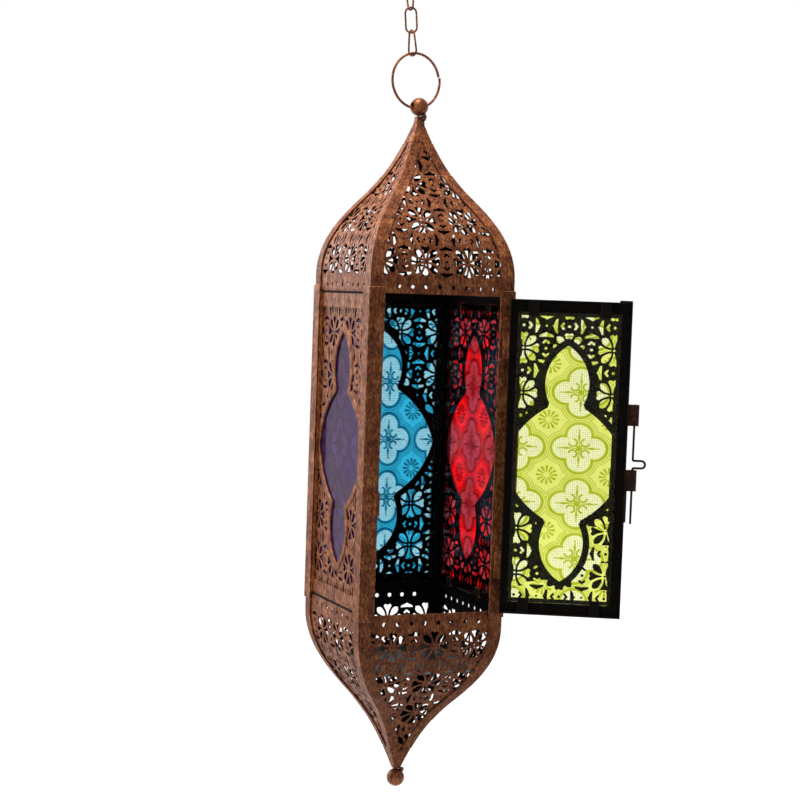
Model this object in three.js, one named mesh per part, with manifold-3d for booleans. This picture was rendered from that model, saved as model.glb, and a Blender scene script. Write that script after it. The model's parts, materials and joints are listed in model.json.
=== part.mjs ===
// Hanging lantern of pierced tin: a square glazed body with a hinged door, two ogee domes,
// a ring, three links of chain and a hook. Millimetres, +Z up, the door's side faces -Y.
// The origin is the place under the top bend of the hook where the lantern hangs. Z is plumb: the
// weight of the open door tips the body until the whole hangs straight below the hook.

import * as THREE from 'three';
import { mergeGeometries, mergeVertices } from 'three/addons/utils/BufferGeometryUtils.js';
import Module from 'manifold-3d';

const wasm = await Module();
wasm.setup();

// Clearances and sheet
const fit = 0.3;              // gap between pieces that touch
const runningFit = 0.05;      // radial gap of a pin in its knuckle
const tin = 0.7;              // pressed sheet: domes, frames, fretwork, plate, hinge leaves

// Body, from the axis outwards and from the middle upwards
const bodyHalf = 60;          // axis to the outer face of a corner post
const frameHalfHeight = 120;  // the glazed sides, between the domes' feet
const postLap = 5;            // the posts run past the sides
const postFlange = 12.8;
const postGauge = 1;
const postEdge = bodyHalf - postFlange;

// Domes: ogee profile of the corner, as half width against height from the body's middle
const domeSeat = 0.4;         // gap between a dome and the glazed sides
const domeFoot = frameHalfHeight + domeSeat;
const bandHeight = 12.6;      // the band is upright up to here
const waistHalf = 31;         // where the curve turns from convex to concave
const waistHeight = 76.1;     // above the foot
const apexHalf = 3.2;
const domeHeight = 131.6;     // foot to apex
const shoulderPull = 28;      // handles of the two curves
const waistPull = 22;
const apexPull = 20;
const waistLean = 38.5;       // degrees from upright at the waist
const apexLean = 18.5;        // degrees from upright at the apex
const curveSteps = 5;
const stripWidth = 10.5;      // each face of a corner strip
const panelTopGap = 17;       // the pierced panel ends this far below the apex
const bandHolePitch = 11;
const bandHoleSize = 3.3;
const bandHoleRise = 5.6;     // above the dome's foot

// Finials
const capHeight = 15;         // the cap hides the top of the corner strips
const ballSize = 14;
const topNeck = 5.8;          // dome's apex to the ball
const bottomNeck = 2.1;
const topBallHeight = domeFoot + domeHeight + topNeck + ballSize / 2;
const bottomBallDepth = domeFoot + domeHeight + bottomNeck + ballSize / 2;
const neckSize = 5.2;
const ballHoleWaist = 4;      // flared cross hole for the ring
const ballHoleMouth = 6.4;

// Fixed sides: frame, fretwork with a pressed rim, glass
const railHeight = 11.7;
const frameDepth = 3;         // axis side of the post to the frame's face
const glassGauge = 2.2;
const glassShort = 6;         // the glass ends this far inside its frame
const glassHalfHeight = frameHalfHeight - glassShort;
const tabWidth = 8;
const tabLength = 7;
const tabPlace = 27;          // centre of a tab from the middle of its rail
const rimWidth = 5.1;
const rimRise = 0.8;

// The five-lobed opening, one quarter, mirrored to the others
const openingTip = 89.5;
const lobeHalf = 16.5;
const lobePlace = 61;
const neckHalf = 11.7;
const neckPlace = 43.5;
const bellyInset = 10;
const bellyPlace = 22;
const openingInset = 1.2;     // from the posts' edges
const openingHalf = postEdge - openingInset;
const bellyHalf = openingHalf - bellyInset;
const arcSteps = 4;

// Fretwork: nodes on a square grid, flowers, stars and roundels in turn
const gridPitch = 14.4;
const flowerSize = 11.8;
const starSize = 11;
const roundelSize = 8.6;
const firstRowRise = 25;      // first row of flowers above the dome's foot, along its face
const webWidth = 1;           // least metal beside a hole

// Candle plate in the lower dome
const plateDrop = 49.1;       // below the dome's foot
const plateDepth = domeFoot + plateDrop;
const plateLip = 4;
const plateFlare = 0.5;       // the lip opens outwards by this

// Door
const doorAngle = 152;        // open angle in the rest pose
const pinInset = 3.3;         // hinge axis from the post's edge and from its face
const pinStandoff = 2.5;
const pinX = postEdge + pinInset;
const pinY = -bodyHalf - pinStandoff;
const pinSize = 1.5;
const knuckleSize = 3.2;
const hingeHeight = 20;
const hingeInset = 35.4;      // a hinge's middle from the door's end
const leafReach = 7;
const hingeSideGap = 0.5;     // door to post
const boltSideGap = 2.5;
const endGap = 0.6;
const doorNearEdge = pinX - postEdge + hingeSideGap;  // from the hinge axis
const doorWidth = 2 * postEdge - hingeSideGap - boltSideGap;
const doorHeight = 2 * (frameHalfHeight - endGap);
const doorDepth = 5.2;
const doorRail = 12.05;
const nearStile = 8.7;
const farStile = 10.5;
const windowWidth = doorWidth - nearStile - farStile;
const windowHeight = doorHeight - 2 * doorRail;
const windowPlace = doorNearEdge + nearStile + windowWidth / 2;  // from the hinge axis
const glassLap = 2.9;         // glass and fretwork beyond the window
const doorOpeningDrop = 4;    // the door's opening sits lower than the others
const cornerLapWidth = 9.5;
const cornerLapRise = 1.4;

// Latch
const boltInset = 2.5;        // the closed bolt from the left post's edge
const boltPlace = pinX + postEdge + boltInset;
const boltSize = 1.7;
const boltCorner = 1;         // bend where the handle leaves the bolt
const handleHeight = 5.6;     // between the handle's two bars
const handleReach = 9.4;
const bracketReach = 3.2;     // beyond the bolt
const bracketLap = 12;        // on the door
const bracketHeight = 16.2;
const upperBracketFoot = 26.8;
const lowerBracketFoot = -22.6;
const bracketTail = 24;       // the lower bracket's strip along the door's edge
const tailReach = 1.4;
const boltGap = 0.2;          // radial, in brackets and catch
const sleeveWall = 0.8;
const catchFoot = -45;
const catchHeight = 16.5;
const catchOverhang = 0.8;
const boltShort = 3;          // from the bolt's top to the bracket's
const boltTip = 2.6;          // beyond the catch
const boltTop = upperBracketFoot + bracketHeight - boltShort;
const boltEnd = catchFoot - boltTip;

// Ring, chain and hook
const ringSize = 44;
const ringWire = 2;
const ringSag = 0.7;          // the ring's lowest point below the ball's centre
const ringTurn = 8;           // degrees about the lantern's axis
const ringLean = 10.7;        // degrees, to the left of the lantern's axis
const ringStep = 0.8;         // radial step between the ring's two ends
const ringJointGap = 0.6;
const restLean = 3.7;         // degrees that the hanging body is tipped
const linkLength = 20.7;
const linkWidth = 10;
const linkNarrow = 7;
const linkWire = 1.5;
const chainLean = 5;          // degrees, to the left of the lantern's axis
const middleLinkTurn = -23;
const outerLinkTurn = -70;
const hookWire = 2;
const hookEye = 10;           // wire centre to wire centre
const hookBend = 16;
const hookSlant = 30;

const copper = { color: 0x8a5234, roughness: 0.55, metalness: 0.75 };
const darkTin = { color: 0x1c120d, roughness: 0.6, metalness: 0.6 };
const galvanised = { color: 0x8d8f91, roughness: 0.5, metalness: 0.8 };
const glassColours = { right: 0xc3101c, back: 0x1f9fcf, left: 0x4b2a86, door: 0xb6cf24 };

const radians = THREE.MathUtils.degToRad;

// Shapes and solids

function toSolid(geometry) {
  const bare = geometry.index ? geometry.toNonIndexed() : geometry.clone();
  for (const name of Object.keys(bare.attributes)) {
    if (name !== 'position') bare.deleteAttribute(name);
  }
  const merged = mergeVertices(bare, 1e-4);
  return new wasm.Manifold(new wasm.Mesh({
    numProp: 3,
    vertProperties: new Float32Array(merged.attributes.position.array),
    triVerts: new Uint32Array(merged.index.array),
  }));
}

function fromSolid(solid) {
  const mesh = solid.getMesh();
  const geometry = new THREE.BufferGeometry();
  geometry.setAttribute('position', new THREE.BufferAttribute(mesh.vertProperties, 3));
  geometry.setIndex(new THREE.BufferAttribute(mesh.triVerts, 1));
  geometry.computeVertexNormals();
  return geometry;
}

function join(...geometries) {
  return fromSolid(geometries.map(toSolid).reduce((whole, next) => whole.add(next)));
}

function cut(geometry, ...tools) {
  return fromSolid(tools.map(toSolid).reduce((left, tool) => left.subtract(tool), toSolid(geometry)));
}

function common(geometry, limit) {
  return fromSolid(toSolid(geometry).intersect(toSolid(limit)));
}

function box(x0, x1, y0, y1, z0, z1) {
  const geometry = new THREE.BoxGeometry(x1 - x0, y1 - y0, z1 - z0);
  return geometry.translate((x0 + x1) / 2, (y0 + y1) / 2, (z0 + z1) / 2);
}

// Upright plate on the front side, drawn in X and Z, between two distances from the axis
function sheet(shape, inner, outer) {
  const geometry = new THREE.ExtrudeGeometry(shape, { depth: outer - inner, bevelEnabled: false });
  return geometry.rotateX(Math.PI / 2).translate(0, -inner, 0);
}

function squareAt(half, z) {
  return [[-1, -1], [1, -1], [1, 1], [-1, 1]].map(([x, y]) => new THREE.Vector3(x * half, y * half, z));
}

function rectangle(x0, x1, z0, z1) {
  return new THREE.Shape([[x0, z0], [x1, z0], [x1, z1], [x0, z1]].map(([x, z]) => new THREE.Vector2(x, z)));
}

// Closed skin over a row of like polygons, capped at its ends or run round into a loop
function loft(sections, isLoop = false) {
  const sides = sections[0].length;
  const positions = sections.flat().flatMap((point) => [point.x, point.y, point.z]);
  const index = [];
  const spans = isLoop ? sections.length : sections.length - 1;
  for (let row = 0; row < spans; row++) {
    const nextRow = (row + 1) % sections.length;
    for (let side = 0; side < sides; side++) {
      const nextSide = (side + 1) % sides;
      const [a, b] = [row * sides + side, row * sides + nextSide];
      const [c, d] = [nextRow * sides + nextSide, nextRow * sides + side];
      index.push(a, b, c, a, c, d);
    }
  }
  if (!isLoop) {
    const last = (sections.length - 1) * sides;
    const outline = flatten(sections[0]);
    for (const [a, b, c] of THREE.ShapeUtils.triangulateShape(outline, [])) {
      index.push(a, c, b);
      index.push(last + a, last + b, last + c);
    }
  }
  const geometry = new THREE.BufferGeometry();
  geometry.setAttribute('position', new THREE.Float32BufferAttribute(positions, 3));
  geometry.setIndex(index);
  return facingOut(geometry);
}

// A section seen square on, turning left, for its cap's triangles
function flatten(section) {
  const [first, second] = section;
  const across = second.clone().sub(first).normalize();
  const normal = new THREE.Vector3();
  section.forEach((point, i) => {
    const next = section[(i + 1) % section.length];
    normal.add(point.clone().sub(first).cross(next.clone().sub(first)));
  });
  const up = normal.normalize().clone().cross(across);
  return section.map((point) => {
    const offset = point.clone().sub(first);
    return new THREE.Vector2(offset.dot(across), offset.dot(up));
  });
}

function facingOut(geometry) {
  const position = geometry.attributes.position;
  const index = geometry.index.array;
  const corner = (i) => new THREE.Vector3().fromBufferAttribute(position, index[i]);
  let volume = 0;
  for (let i = 0; i < index.length; i += 3) {
    volume += corner(i).dot(corner(i + 1).cross(corner(i + 2)));
  }
  if (volume < 0) {
    for (let i = 0; i < index.length; i += 3) {
      [index[i], index[i + 1]] = [index[i + 1], index[i]];
    }
  }
  geometry.computeVertexNormals();
  return geometry;
}

// Round wire along a flat path in X and Z
function wire(path, size, sides, isLoop = false) {
  const across = new THREE.Vector3(0, 1, 0);
  const sections = path.map((point, i) => {
    const count = path.length;
    const before = isLoop ? path[(i + count - 1) % count] : path[Math.max(i - 1, 0)];
    const after = isLoop ? path[(i + 1) % count] : path[Math.min(i + 1, count - 1)];
    const along = after.clone().sub(before).normalize();
    const outward = new THREE.Vector3(along.y, 0, -along.x);
    return Array.from({ length: sides }, (_, side) => {
      const angle = (side + 0.5) * 2 * Math.PI / sides;
      return new THREE.Vector3(point.x, 0, point.y)
        .addScaledVector(outward, Math.cos(angle) * size / 2)
        .addScaledVector(across, Math.sin(angle) * size / 2);
    });
  });
  return loft(sections, isLoop);
}

// Upright round bar about its middle
function rod(size, height) {
  return new THREE.CylinderGeometry(size / 2, size / 2, height, 10).rotateX(Math.PI / 2);
}

function tube(outerSize, boreSize, height) {
  const [outer, bore] = [outerSize / 2, boreSize / 2];
  const profile = [[bore, 0], [outer, 0], [outer, height], [bore, height], [bore, 0]];
  const points = profile.map(([radius, z]) => new THREE.Vector2(radius, z));
  return new THREE.LatheGeometry(points, 10).rotateX(Math.PI / 2);
}

function arcPoints(centre, radius, from, to, steps) {
  return Array.from({ length: steps + 1 }, (_, i) => {
    const angle = radians(from + (to - from) * i / steps);
    return new THREE.Vector2(centre.x + radius * Math.cos(angle), centre.y + radius * Math.sin(angle));
  });
}

// Arc from one point to another by way of a third
function arcThrough(start, middle, end, steps) {
  const [a, b] = [middle.clone().sub(start), end.clone().sub(start)];
  const double = 2 * a.cross(b);
  const centre = new THREE.Vector2(
    (b.y * a.lengthSq() - a.y * b.lengthSq()) / double,
    (a.x * b.lengthSq() - b.x * a.lengthSq()) / double,
  ).add(start);
  const [from, to] = [start, end].map((point) => point.clone().sub(centre).angle() * 180 / Math.PI);
  const turn = ((to - from + 540) % 360) - 180;
  return arcPoints(centre, centre.distanceTo(start), from, from + turn, steps);
}

// Dome profile, shared by panels, strips, caps and the candle plate

const domeProfile = new THREE.Path();
domeProfile.moveTo(bodyHalf - postGauge - fit, domeFoot);
domeProfile.lineTo(bodyHalf - postGauge - fit, domeFoot + bandHeight);
domeProfile.bezierCurveTo(
  bodyHalf - postGauge - fit, domeFoot + bandHeight + shoulderPull,
  waistHalf + waistPull * Math.sin(radians(waistLean)),
  domeFoot + waistHeight - waistPull * Math.cos(radians(waistLean)),
  waistHalf, domeFoot + waistHeight,
);
domeProfile.bezierCurveTo(
  waistHalf - waistPull * Math.sin(radians(waistLean)),
  domeFoot + waistHeight + waistPull * Math.cos(radians(waistLean)),
  apexHalf + apexPull * Math.sin(radians(apexLean)),
  domeFoot + domeHeight - apexPull * Math.cos(radians(apexLean)),
  apexHalf, domeFoot + domeHeight,
);

const domeStations = domeProfile.getPoints(curveSteps).map((point, i, all) => {
  const along = (all[i + 1] ?? point).clone().sub(all[i - 1] ?? point).normalize();
  return { half: point.x, z: point.y, slant: 1 / along.y };
});
domeStations.forEach((station, i) => {
  const before = domeStations[i - 1];
  station.length = before
    ? before.length + Math.hypot(station.half - before.half, station.z - before.z)
    : 0;
});

// Value of one quantity of the profile where another has a given value
function alongDome(wanted, key, value) {
  const after = Math.max(1, domeStations.findIndex((station) => station[key] >= value));
  const [low, high] = [domeStations[after - 1], domeStations[after]];
  return THREE.MathUtils.mapLinear(value, low[key], high[key], low[wanted], high[wanted]);
}

function domeHalfAt(z, inset) {
  return alongDome('half', 'z', z) - inset * alongDome('slant', 'z', z);
}

function domeLevels(top) {
  return [...domeStations.map((station) => station.z).filter((z) => z < top), top];
}

// Fretwork holes

function insideOutline(point, outline) {
  let inside = false;
  outline.forEach((a, i) => {
    const b = outline[(i + outline.length - 1) % outline.length];
    const crosses = (a.y > point.y) !== (b.y > point.y);
    if (crosses && point.x < (b.x - a.x) * (point.y - a.y) / (b.y - a.y) + a.x) inside = !inside;
  });
  return inside;
}

function holeOutline(kind, size) {
  const corners = kind === 'flower' ? 6 : 4;
  const phase = kind === 'roundel' ? 45 : 0;
  return arcPoints(new THREE.Vector2(), size / 2, phase, phase + 360 - 360 / corners, corners - 1);
}

// Grid of holes that keep to the field, its middle row raised; a hole that doesn't fit is made
// smaller or left out
function fretworkHoles(xSpan, zSpan, rise, isInField) {
  const sizes = { flower: flowerSize, star: starSize, roundel: roundelSize };
  const holes = [];
  const [columns, rows] = [Math.ceil(xSpan / gridPitch) + 1, Math.ceil(zSpan / gridPitch) + 1];
  for (let column = -columns; column <= columns; column++) {
    for (let row = -rows; row <= rows; row++) {
      const isOdd = [column, row].map((number) => Math.abs(number % 2) === 1);
      const kind = isOdd[0] !== isOdd[1] ? 'roundel' : isOdd[0] ? 'star' : 'flower';
      const centre = new THREE.Vector2(column * gridPitch, row * gridPitch + rise);
      const placed = (size) => holeOutline(kind, size).map((point) => point.add(centre));
      const share = [1, 0.8, 0.6, 0.4].find((part) => (
        placed(part * sizes[kind] + 2 * webWidth).every(isInField)
      ));
      if (share) holes.push(placed(share * sizes[kind]));
    }
  }
  return holes;
}

// Opening outline and the rim pressed around it

function openingOutline(dropZ = 0) {
  const point = (x, z) => new THREE.Vector2(x, z);
  const neck = point(neckHalf, neckPlace);
  const quarter = [
    ...arcThrough(point(openingHalf, 0), point(bellyHalf, bellyPlace), neck, arcSteps),
    ...arcThrough(neck, point(lobeHalf, lobePlace), point(0, openingTip), arcSteps).slice(1),
  ];
  const upperLeft = quarter.slice(0, -1).reverse().map(({ x, y }) => point(-x, y));
  const upper = [...quarter, ...upperLeft];
  const lower = upper.slice(1, -1).reverse().map(({ x, y }) => point(x, -y));
  return [...upper, ...lower].map(({ x, y }) => point(x, y - dropZ));
}

// Outline moved outwards by a distance, corners kept sharp
function offsetOutline(outline, distance) {
  return outline.map((corner, i) => {
    const before = outline[(i + outline.length - 1) % outline.length];
    const after = outline[(i + 1) % outline.length];
    const [a, b] = [corner.clone().sub(before).normalize(), after.clone().sub(corner).normalize()];
    const normal = new THREE.Vector2(a.y + b.y, -a.x - b.x).normalize();
    return corner.clone().addScaledVector(normal, distance / normal.dot(new THREE.Vector2(a.y, -a.x)));
  });
}

// Pierced sheet with its opening and raised rim, face at a distance from the axis
function fretworkSheet(face, halfX, halfZ, field, openingDrop = 0) {
  const opening = openingOutline(openingDrop);
  const rim = offsetOutline(opening, rimWidth);
  const plate = box(-halfX, halfX, -face, -face + tin, -halfZ, halfZ);
  const window = rectangle(-field.halfX, field.halfX, -field.halfZ, field.halfZ).getPoints();
  const isInField = (point) => insideOutline(point, window) && !insideOutline(point, rim);
  const holes = fretworkHoles(halfX, halfZ, 0, isInField)
    .map((outline) => sheet(new THREE.Shape(outline), face - 2 * tin, face + 2 * rimRise));
  const ridge = common(
    sheet(new THREE.Shape(rim), face - tin / 2, face + rimRise),
    box(-field.halfX + fit, field.halfX - fit, -face - rimRise, -face + tin,
      -field.halfZ + fit, field.halfZ - fit),
  );
  const punch = common(
    sheet(new THREE.Shape(opening), face - 2 * tin, face + 2 * rimRise),
    box(-field.halfX + 2 * fit, field.halfX - 2 * fit, -face - 2 * rimRise, -face + 2 * tin,
      -field.halfZ + 2 * fit, field.halfZ - 2 * fit),
  );
  return cut(join(plate, ridge), punch, mergeGeometries(holes));
}

// Pieces

const lantern = new THREE.Group();
const sideNames = ['front', 'right', 'back', 'left'];
const cornerNames = ['front_right', 'back_right', 'back_left', 'front_left'];

function addPiece(parent, name, geometry, finish, quarterTurns = 0) {
  const mesh = new THREE.Mesh(geometry, new THREE.MeshStandardMaterial(finish));
  mesh.name = name;
  mesh.rotation.z = quarterTurns * Math.PI / 2;
  parent.add(mesh);
  return mesh;
}

function angleOutline(corner, flange, gauge) {
  const [outer, inner, edge] = [corner, corner - gauge, corner - flange];
  return [[outer, outer], [edge, outer], [edge, inner], [inner, inner], [inner, edge], [outer, edge]]
    .map(([x, y]) => new THREE.Vector2(x, -y));
}

function addPosts() {
  const outline = angleOutline(bodyHalf, postFlange, postGauge);
  cornerNames.forEach((corner, turns) => {
    const levels = [-frameHalfHeight - postLap, frameHalfHeight + postLap];
    const post = loft(levels.map((z) => outline.map(({ x, y }) => new THREE.Vector3(x, y, z))));
    addPiece(lantern, `corner_post_${corner}`, post, copper, turns);
  });
}

// Dome: four pierced panels under four folded corner strips

function cornerStrip(direction) {
  const top = domeFoot + domeHeight - capHeight - fit;
  return loft(domeLevels(top).map((z) => {
    const half = domeHalfAt(z, 0);
    const gauge = half - domeHalfAt(z, tin);
    const flange = Math.min(stripWidth, half - fit);
    return angleOutline(half, flange, gauge).map(({ x, y }) => new THREE.Vector3(x, y, direction * z));
  }));
}

function domePanel(direction) {
  const top = domeFoot + domeHeight - panelTopGap;
  const shell = loft(domeLevels(top).map((z) => {
    const outer = domeHalfAt(z, tin + fit);
    const inner = domeHalfAt(z, 2 * tin + fit);
    const half = inner - fit;
    return [[-half, outer], [half, outer], [half, inner], [-half, inner]]
      .map(([x, y]) => new THREE.Vector3(x, -y, direction * z));
  }));
  const isInField = ({ x, y }) => {
    const z = alongDome('z', 'length', y);
    return y > bandHeight && z < top - webWidth && Math.abs(x) < domeHalfAt(z, 0) - stripWidth;
  };
  const length = alongDome('length', 'z', top);
  const onDome = ({ x, y }) => new THREE.Vector2(x, direction * alongDome('z', 'length', y));
  const pierced = fretworkHoles(bodyHalf, length, firstRowRise, isInField)
    .map((outline) => outline.map(onDome));
  const bandHoles = Math.floor(2 * (domeHalfAt(domeFoot, 0) - stripWidth) / bandHolePitch);
  const band = Array.from({ length: bandHoles }, (_, i) => {
    const centre = new THREE.Vector2((i - (bandHoles - 1) / 2) * bandHolePitch,
      direction * (domeFoot + bandHoleRise));
    return arcPoints(centre, bandHoleSize / 2, 0, 270, 3);
  });
  const punches = [...pierced, ...band].map((outline) => sheet(new THREE.Shape(outline), 1, bodyHalf + 1));
  return cut(shell, mergeGeometries(punches));
}

function apexCap(direction, ballHeight) {
  const foot = domeFoot + domeHeight - capHeight;
  const neckTop = ballHeight - ballSize / 2 - fit;
  const levels = domeStations.map((station) => station.z).filter((z) => z > foot);
  const cap = [foot, ...levels].map((z) => squareAt(domeHalfAt(z, 0), direction * z));
  return loft([...cap, squareAt(neckSize / 2, direction * neckTop)]);
}

function ballWithHole() {
  const radius = ballSize / 2;
  const mouth = Math.asin(ballHoleMouth / ballSize);
  const steps = 7;
  const outside = Array.from({ length: steps + 1 }, (_, i) => {
    const angle = mouth + (Math.PI - 2 * mouth) * i / steps;
    return new THREE.Vector2(radius * Math.sin(angle), -radius * Math.cos(angle));
  });
  const profile = [...outside, new THREE.Vector2(ballHoleWaist / 2, 0), outside[0]];
  return new THREE.LatheGeometry(profile, 12).rotateZ(-Math.PI / 2);
}

function addDomes() {
  for (const [level, direction] of [['top', 1], ['bottom', -1]]) {
    sideNames.forEach((side, turns) => {
      addPiece(lantern, `${level}_dome_panel_${side}`, domePanel(direction), copper, turns);
    });
    cornerNames.forEach((corner, turns) => {
      addPiece(lantern, `${level}_corner_strip_${corner}`, cornerStrip(direction), copper, turns);
    });
  }
  addPiece(lantern, 'top_cap', apexCap(1, topBallHeight), copper);
  addPiece(lantern, 'bottom_cap', apexCap(-1, bottomBallDepth), copper);
  const topBall = addPiece(lantern, 'top_ball', ballWithHole(), copper);
  topBall.position.z = topBallHeight;
  topBall.rotation.z = radians(ringTurn);
  const ball = new THREE.SphereGeometry(ballSize / 2, 12, 8);
  const bottomBall = addPiece(lantern, 'bottom_ball', ball, copper);
  bottomBall.position.z = -bottomBallDepth;
}

// Fixed sides: hemmed frame with bent tabs, fretwork, glass

function sideFrame(face) {
  const half = face - tin - fit;
  const windowHalf = postEdge - fit;
  const frame = rectangle(-half, half, -frameHalfHeight, frameHalfHeight);
  frame.holes = [new THREE.Path(rectangle(
    -windowHalf, windowHalf, -frameHalfHeight + railHeight, frameHalfHeight - railHeight,
  ).getPoints())];
  const hems = [-1, 1].map((side) => {
    const [x0, x1] = [side * (windowHalf + 2 * fit), side * half].sort((a, b) => a - b);
    return box(x0, x1, -(bodyHalf - postGauge - fit), -face + tin / 2, -frameHalfHeight, frameHalfHeight);
  });
  return join(sheet(frame, face - tin, face), ...hems, ...bentTabs(face - tin / 2, glassBack(face) - fit));
}

function glassBack(face) {
  return face - 2 * tin - 2 * fit - glassGauge;
}

// Tabs folded over the ends of the glass: a root through the frame and a leg behind the glass
function bentTabs(root, back) {
  const tabs = [];
  for (const [side, end] of [[-1, -1], [1, -1], [-1, 1], [1, 1]]) {
    const [x0, x1] = [side * tabPlace - tabWidth / 2, side * tabPlace + tabWidth / 2];
    const [foot, top] = [glassHalfHeight + fit, glassHalfHeight + fit + tin];
    const upright = (a, b) => [Math.min(end * a, end * b), Math.max(end * a, end * b)];
    tabs.push(box(x0, x1, -root, -back + tin, ...upright(foot, top)));
    tabs.push(box(x0, x1, -back, -back + tin, ...upright(foot - tabLength, top)));
  }
  return tabs;
}

function addFixedSides() {
  const face = bodyHalf - frameDepth;
  const fretFace = face - tin - fit;
  const glassFace = fretFace - tin - fit;
  const windowHalf = postEdge - fit;
  const field = { halfX: windowHalf, halfZ: frameHalfHeight - railHeight };
  sideNames.slice(1).forEach((side, i) => {
    const turns = i + 1;
    addPiece(lantern, `${side}_frame`, sideFrame(face), copper, turns);
    const fretwork = fretworkSheet(fretFace, fretFace - tin - fit, glassHalfHeight, field);
    addPiece(lantern, `${side}_fretwork`, fretwork, copper, turns);
    const glassHalf = glassFace - glassGauge - fit;
    const glass = box(-glassHalf, glassHalf, -glassFace, -glassFace + glassGauge,
      -glassHalfHeight, glassHalfHeight);
    const tint = { color: glassColours[side], roughness: 0.2, metalness: 0 };
    addPiece(lantern, `${side}_glass`, glass, tint, turns);
  });
}

function addCandlePlate() {
  const half = domeHalfAt(plateDepth, 2 * tin + fit) - fit;
  const [floor, mouth] = [-plateDepth + tin, -plateDepth + plateLip + tin];
  const tray = cut(
    box(-half, half, -half, half, -plateDepth, -plateDepth + plateLip),
    loft([squareAt(half - tin - plateFlare, floor), squareAt(half - tin, mouth)]),
  );
  addPiece(lantern, 'candle_plate', tray, galvanised);
}

addPosts();
addDomes();
addFixedSides();
addCandlePlate();

// Door, drawn closed on the front and turned open about the hinge axis by its group. A u is a
// distance from that axis towards the left post.

const door = new THREE.Group();
door.position.set(pinX, pinY, 0);
door.rotation.z = radians(doorAngle);
lantern.add(door);

const doorFace = bodyHalf;
const leafFace = bodyHalf + fit;
const bracketFace = leafFace + tin;

// Box between two distances from the hinge axis and two distances from the body's axis
function doorBox(u0, u1, inner, outer, z0, z1) {
  return box(-u1, -u0, -outer - pinY, -inner - pinY, z0, z1);
}

function doorSheet(shape, centre, inner, outer) {
  return sheet(shape, inner, outer).translate(-centre, -pinY, 0);
}

function addDoorLeaf() {
  const [near, far] = [doorNearEdge, doorNearEdge + doorWidth];
  const halfZ = doorHeight / 2;
  const back = doorFace - doorDepth;
  const tabBack = back + tin;
  const [u0, u1] = [windowPlace - windowWidth / 2, windowPlace + windowWidth / 2];
  const shell = doorBox(near, far, back, doorFace, -halfZ, halfZ);
  const hollow = doorBox(near + tin, far - tin, back - tin, doorFace - tin, -halfZ + tin, halfZ - tin);
  const opening = doorBox(u0, u1, back, doorFace + tin, -windowHeight / 2, windowHeight / 2);
  const lap = doorBox(far - cornerLapWidth, far, doorFace - tin, doorFace, 0, halfZ + cornerLapRise);
  const tabs = [];
  for (const [side, end] of [[-1, -1], [1, -1], [-1, 1], [1, 1]]) {
    const centre = windowPlace + side * tabPlace;
    const ends = [end * (windowHeight / 2 - fit), end * (halfZ - tin / 2)].sort((a, b) => a - b);
    tabs.push(doorBox(centre - tabWidth / 2, centre + tabWidth / 2, back, tabBack, ...ends));
  }
  const frame = join(cut(shell, hollow, opening), cut(lap, opening), ...tabs);
  addPiece(door, 'door_frame', frame, darkTin);

  const fretFace = doorFace - tin - fit;
  const field = { halfX: windowWidth / 2, halfZ: windowHeight / 2 };
  const sheetHalf = { x: field.halfX + glassLap, z: field.halfZ + glassLap };
  const fretwork = fretworkSheet(fretFace, sheetHalf.x, sheetHalf.z, field, doorOpeningDrop);
  addPiece(door, 'door_fretwork', fretwork.translate(-windowPlace, -pinY, 0), darkTin);

  const glassFace = fretFace - tin - fit;
  const glassBackFace = tabBack + fit;
  const glass = doorSheet(rectangle(-sheetHalf.x, sheetHalf.x, -sheetHalf.z, sheetHalf.z), windowPlace,
    glassBackFace, glassFace);
  addPiece(door, 'door_glass', glass, { color: glassColours.door, roughness: 0.2, metalness: 0 });
}

// Butt hinges: the post's leaf carries the two end knuckles, the door's leaf the middle one

function hingeLeaf(side, knuckles, middle) {
  const reach = knuckleSize / 2 + fit;
  const boreSize = pinSize + 2 * runningFit;
  const [inner, outer] = [-leafFace - pinY, -bracketFace - pinY];
  const [x0, x1] = side > 0 ? [reach, reach + leafReach] : [-reach - leafReach, -reach];
  const foot = middle - hingeHeight / 2;
  const parts = [box(x0, x1, outer, inner, foot, foot + hingeHeight)];
  for (const [start, end] of knuckles) {
    const [z0, z1] = [foot + start * hingeHeight + fit / 2, foot + end * hingeHeight - fit / 2];
    const barrel = tube(knuckleSize, boreSize, z1 - z0).translate(0, 0, z0);
    const [webStart, webEnd] = [0, side * (reach + fit)].sort((a, b) => a - b);
    const web = box(webStart, webEnd, outer, inner, z0, z1);
    parts.push(cut(join(barrel, web), rod(boreSize, 3 * hingeHeight).translate(0, 0, middle)));
  }
  return join(...parts);
}

function addHinges() {
  const fixedLeaves = new THREE.Group();
  fixedLeaves.position.set(pinX, pinY, 0);
  lantern.add(fixedLeaves);
  const hingePlace = doorHeight / 2 - hingeInset;
  for (const [level, middle] of [['upper', hingePlace], ['lower', -hingePlace]]) {
    const ends = [[0, 1 / 3], [2 / 3, 1]];
    addPiece(fixedLeaves, `${level}_hinge_post_leaf`, hingeLeaf(1, ends, middle), copper);
    addPiece(door, `${level}_hinge_door_leaf`, hingeLeaf(-1, [[1 / 3, 2 / 3]], middle), copper);
    const pin = rod(pinSize, hingeHeight).translate(0, 0, middle);
    addPiece(fixedLeaves, `${level}_hinge_pin`, pin, copper);
  }
}

addDoorLeaf();
addHinges();

// Latch: a bent wire bolt that slides in two brackets and drops into a sleeve on the left post

const boltY = -(bracketFace + boltSize / 2 + boltGap);
const sleeveBore = boltSize + 2 * boltGap;
const sleeveSize = sleeveBore + 2 * sleeveWall;

function sleevePlate(plate, foot, height, x, y) {
  const sleeve = tube(sleeveSize, sleeveBore, height).translate(x, y, foot);
  const bore = rod(sleeveBore, 3 * height).translate(x, y, foot + height / 2);
  return cut(join(plate, sleeve), bore);
}

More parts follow.
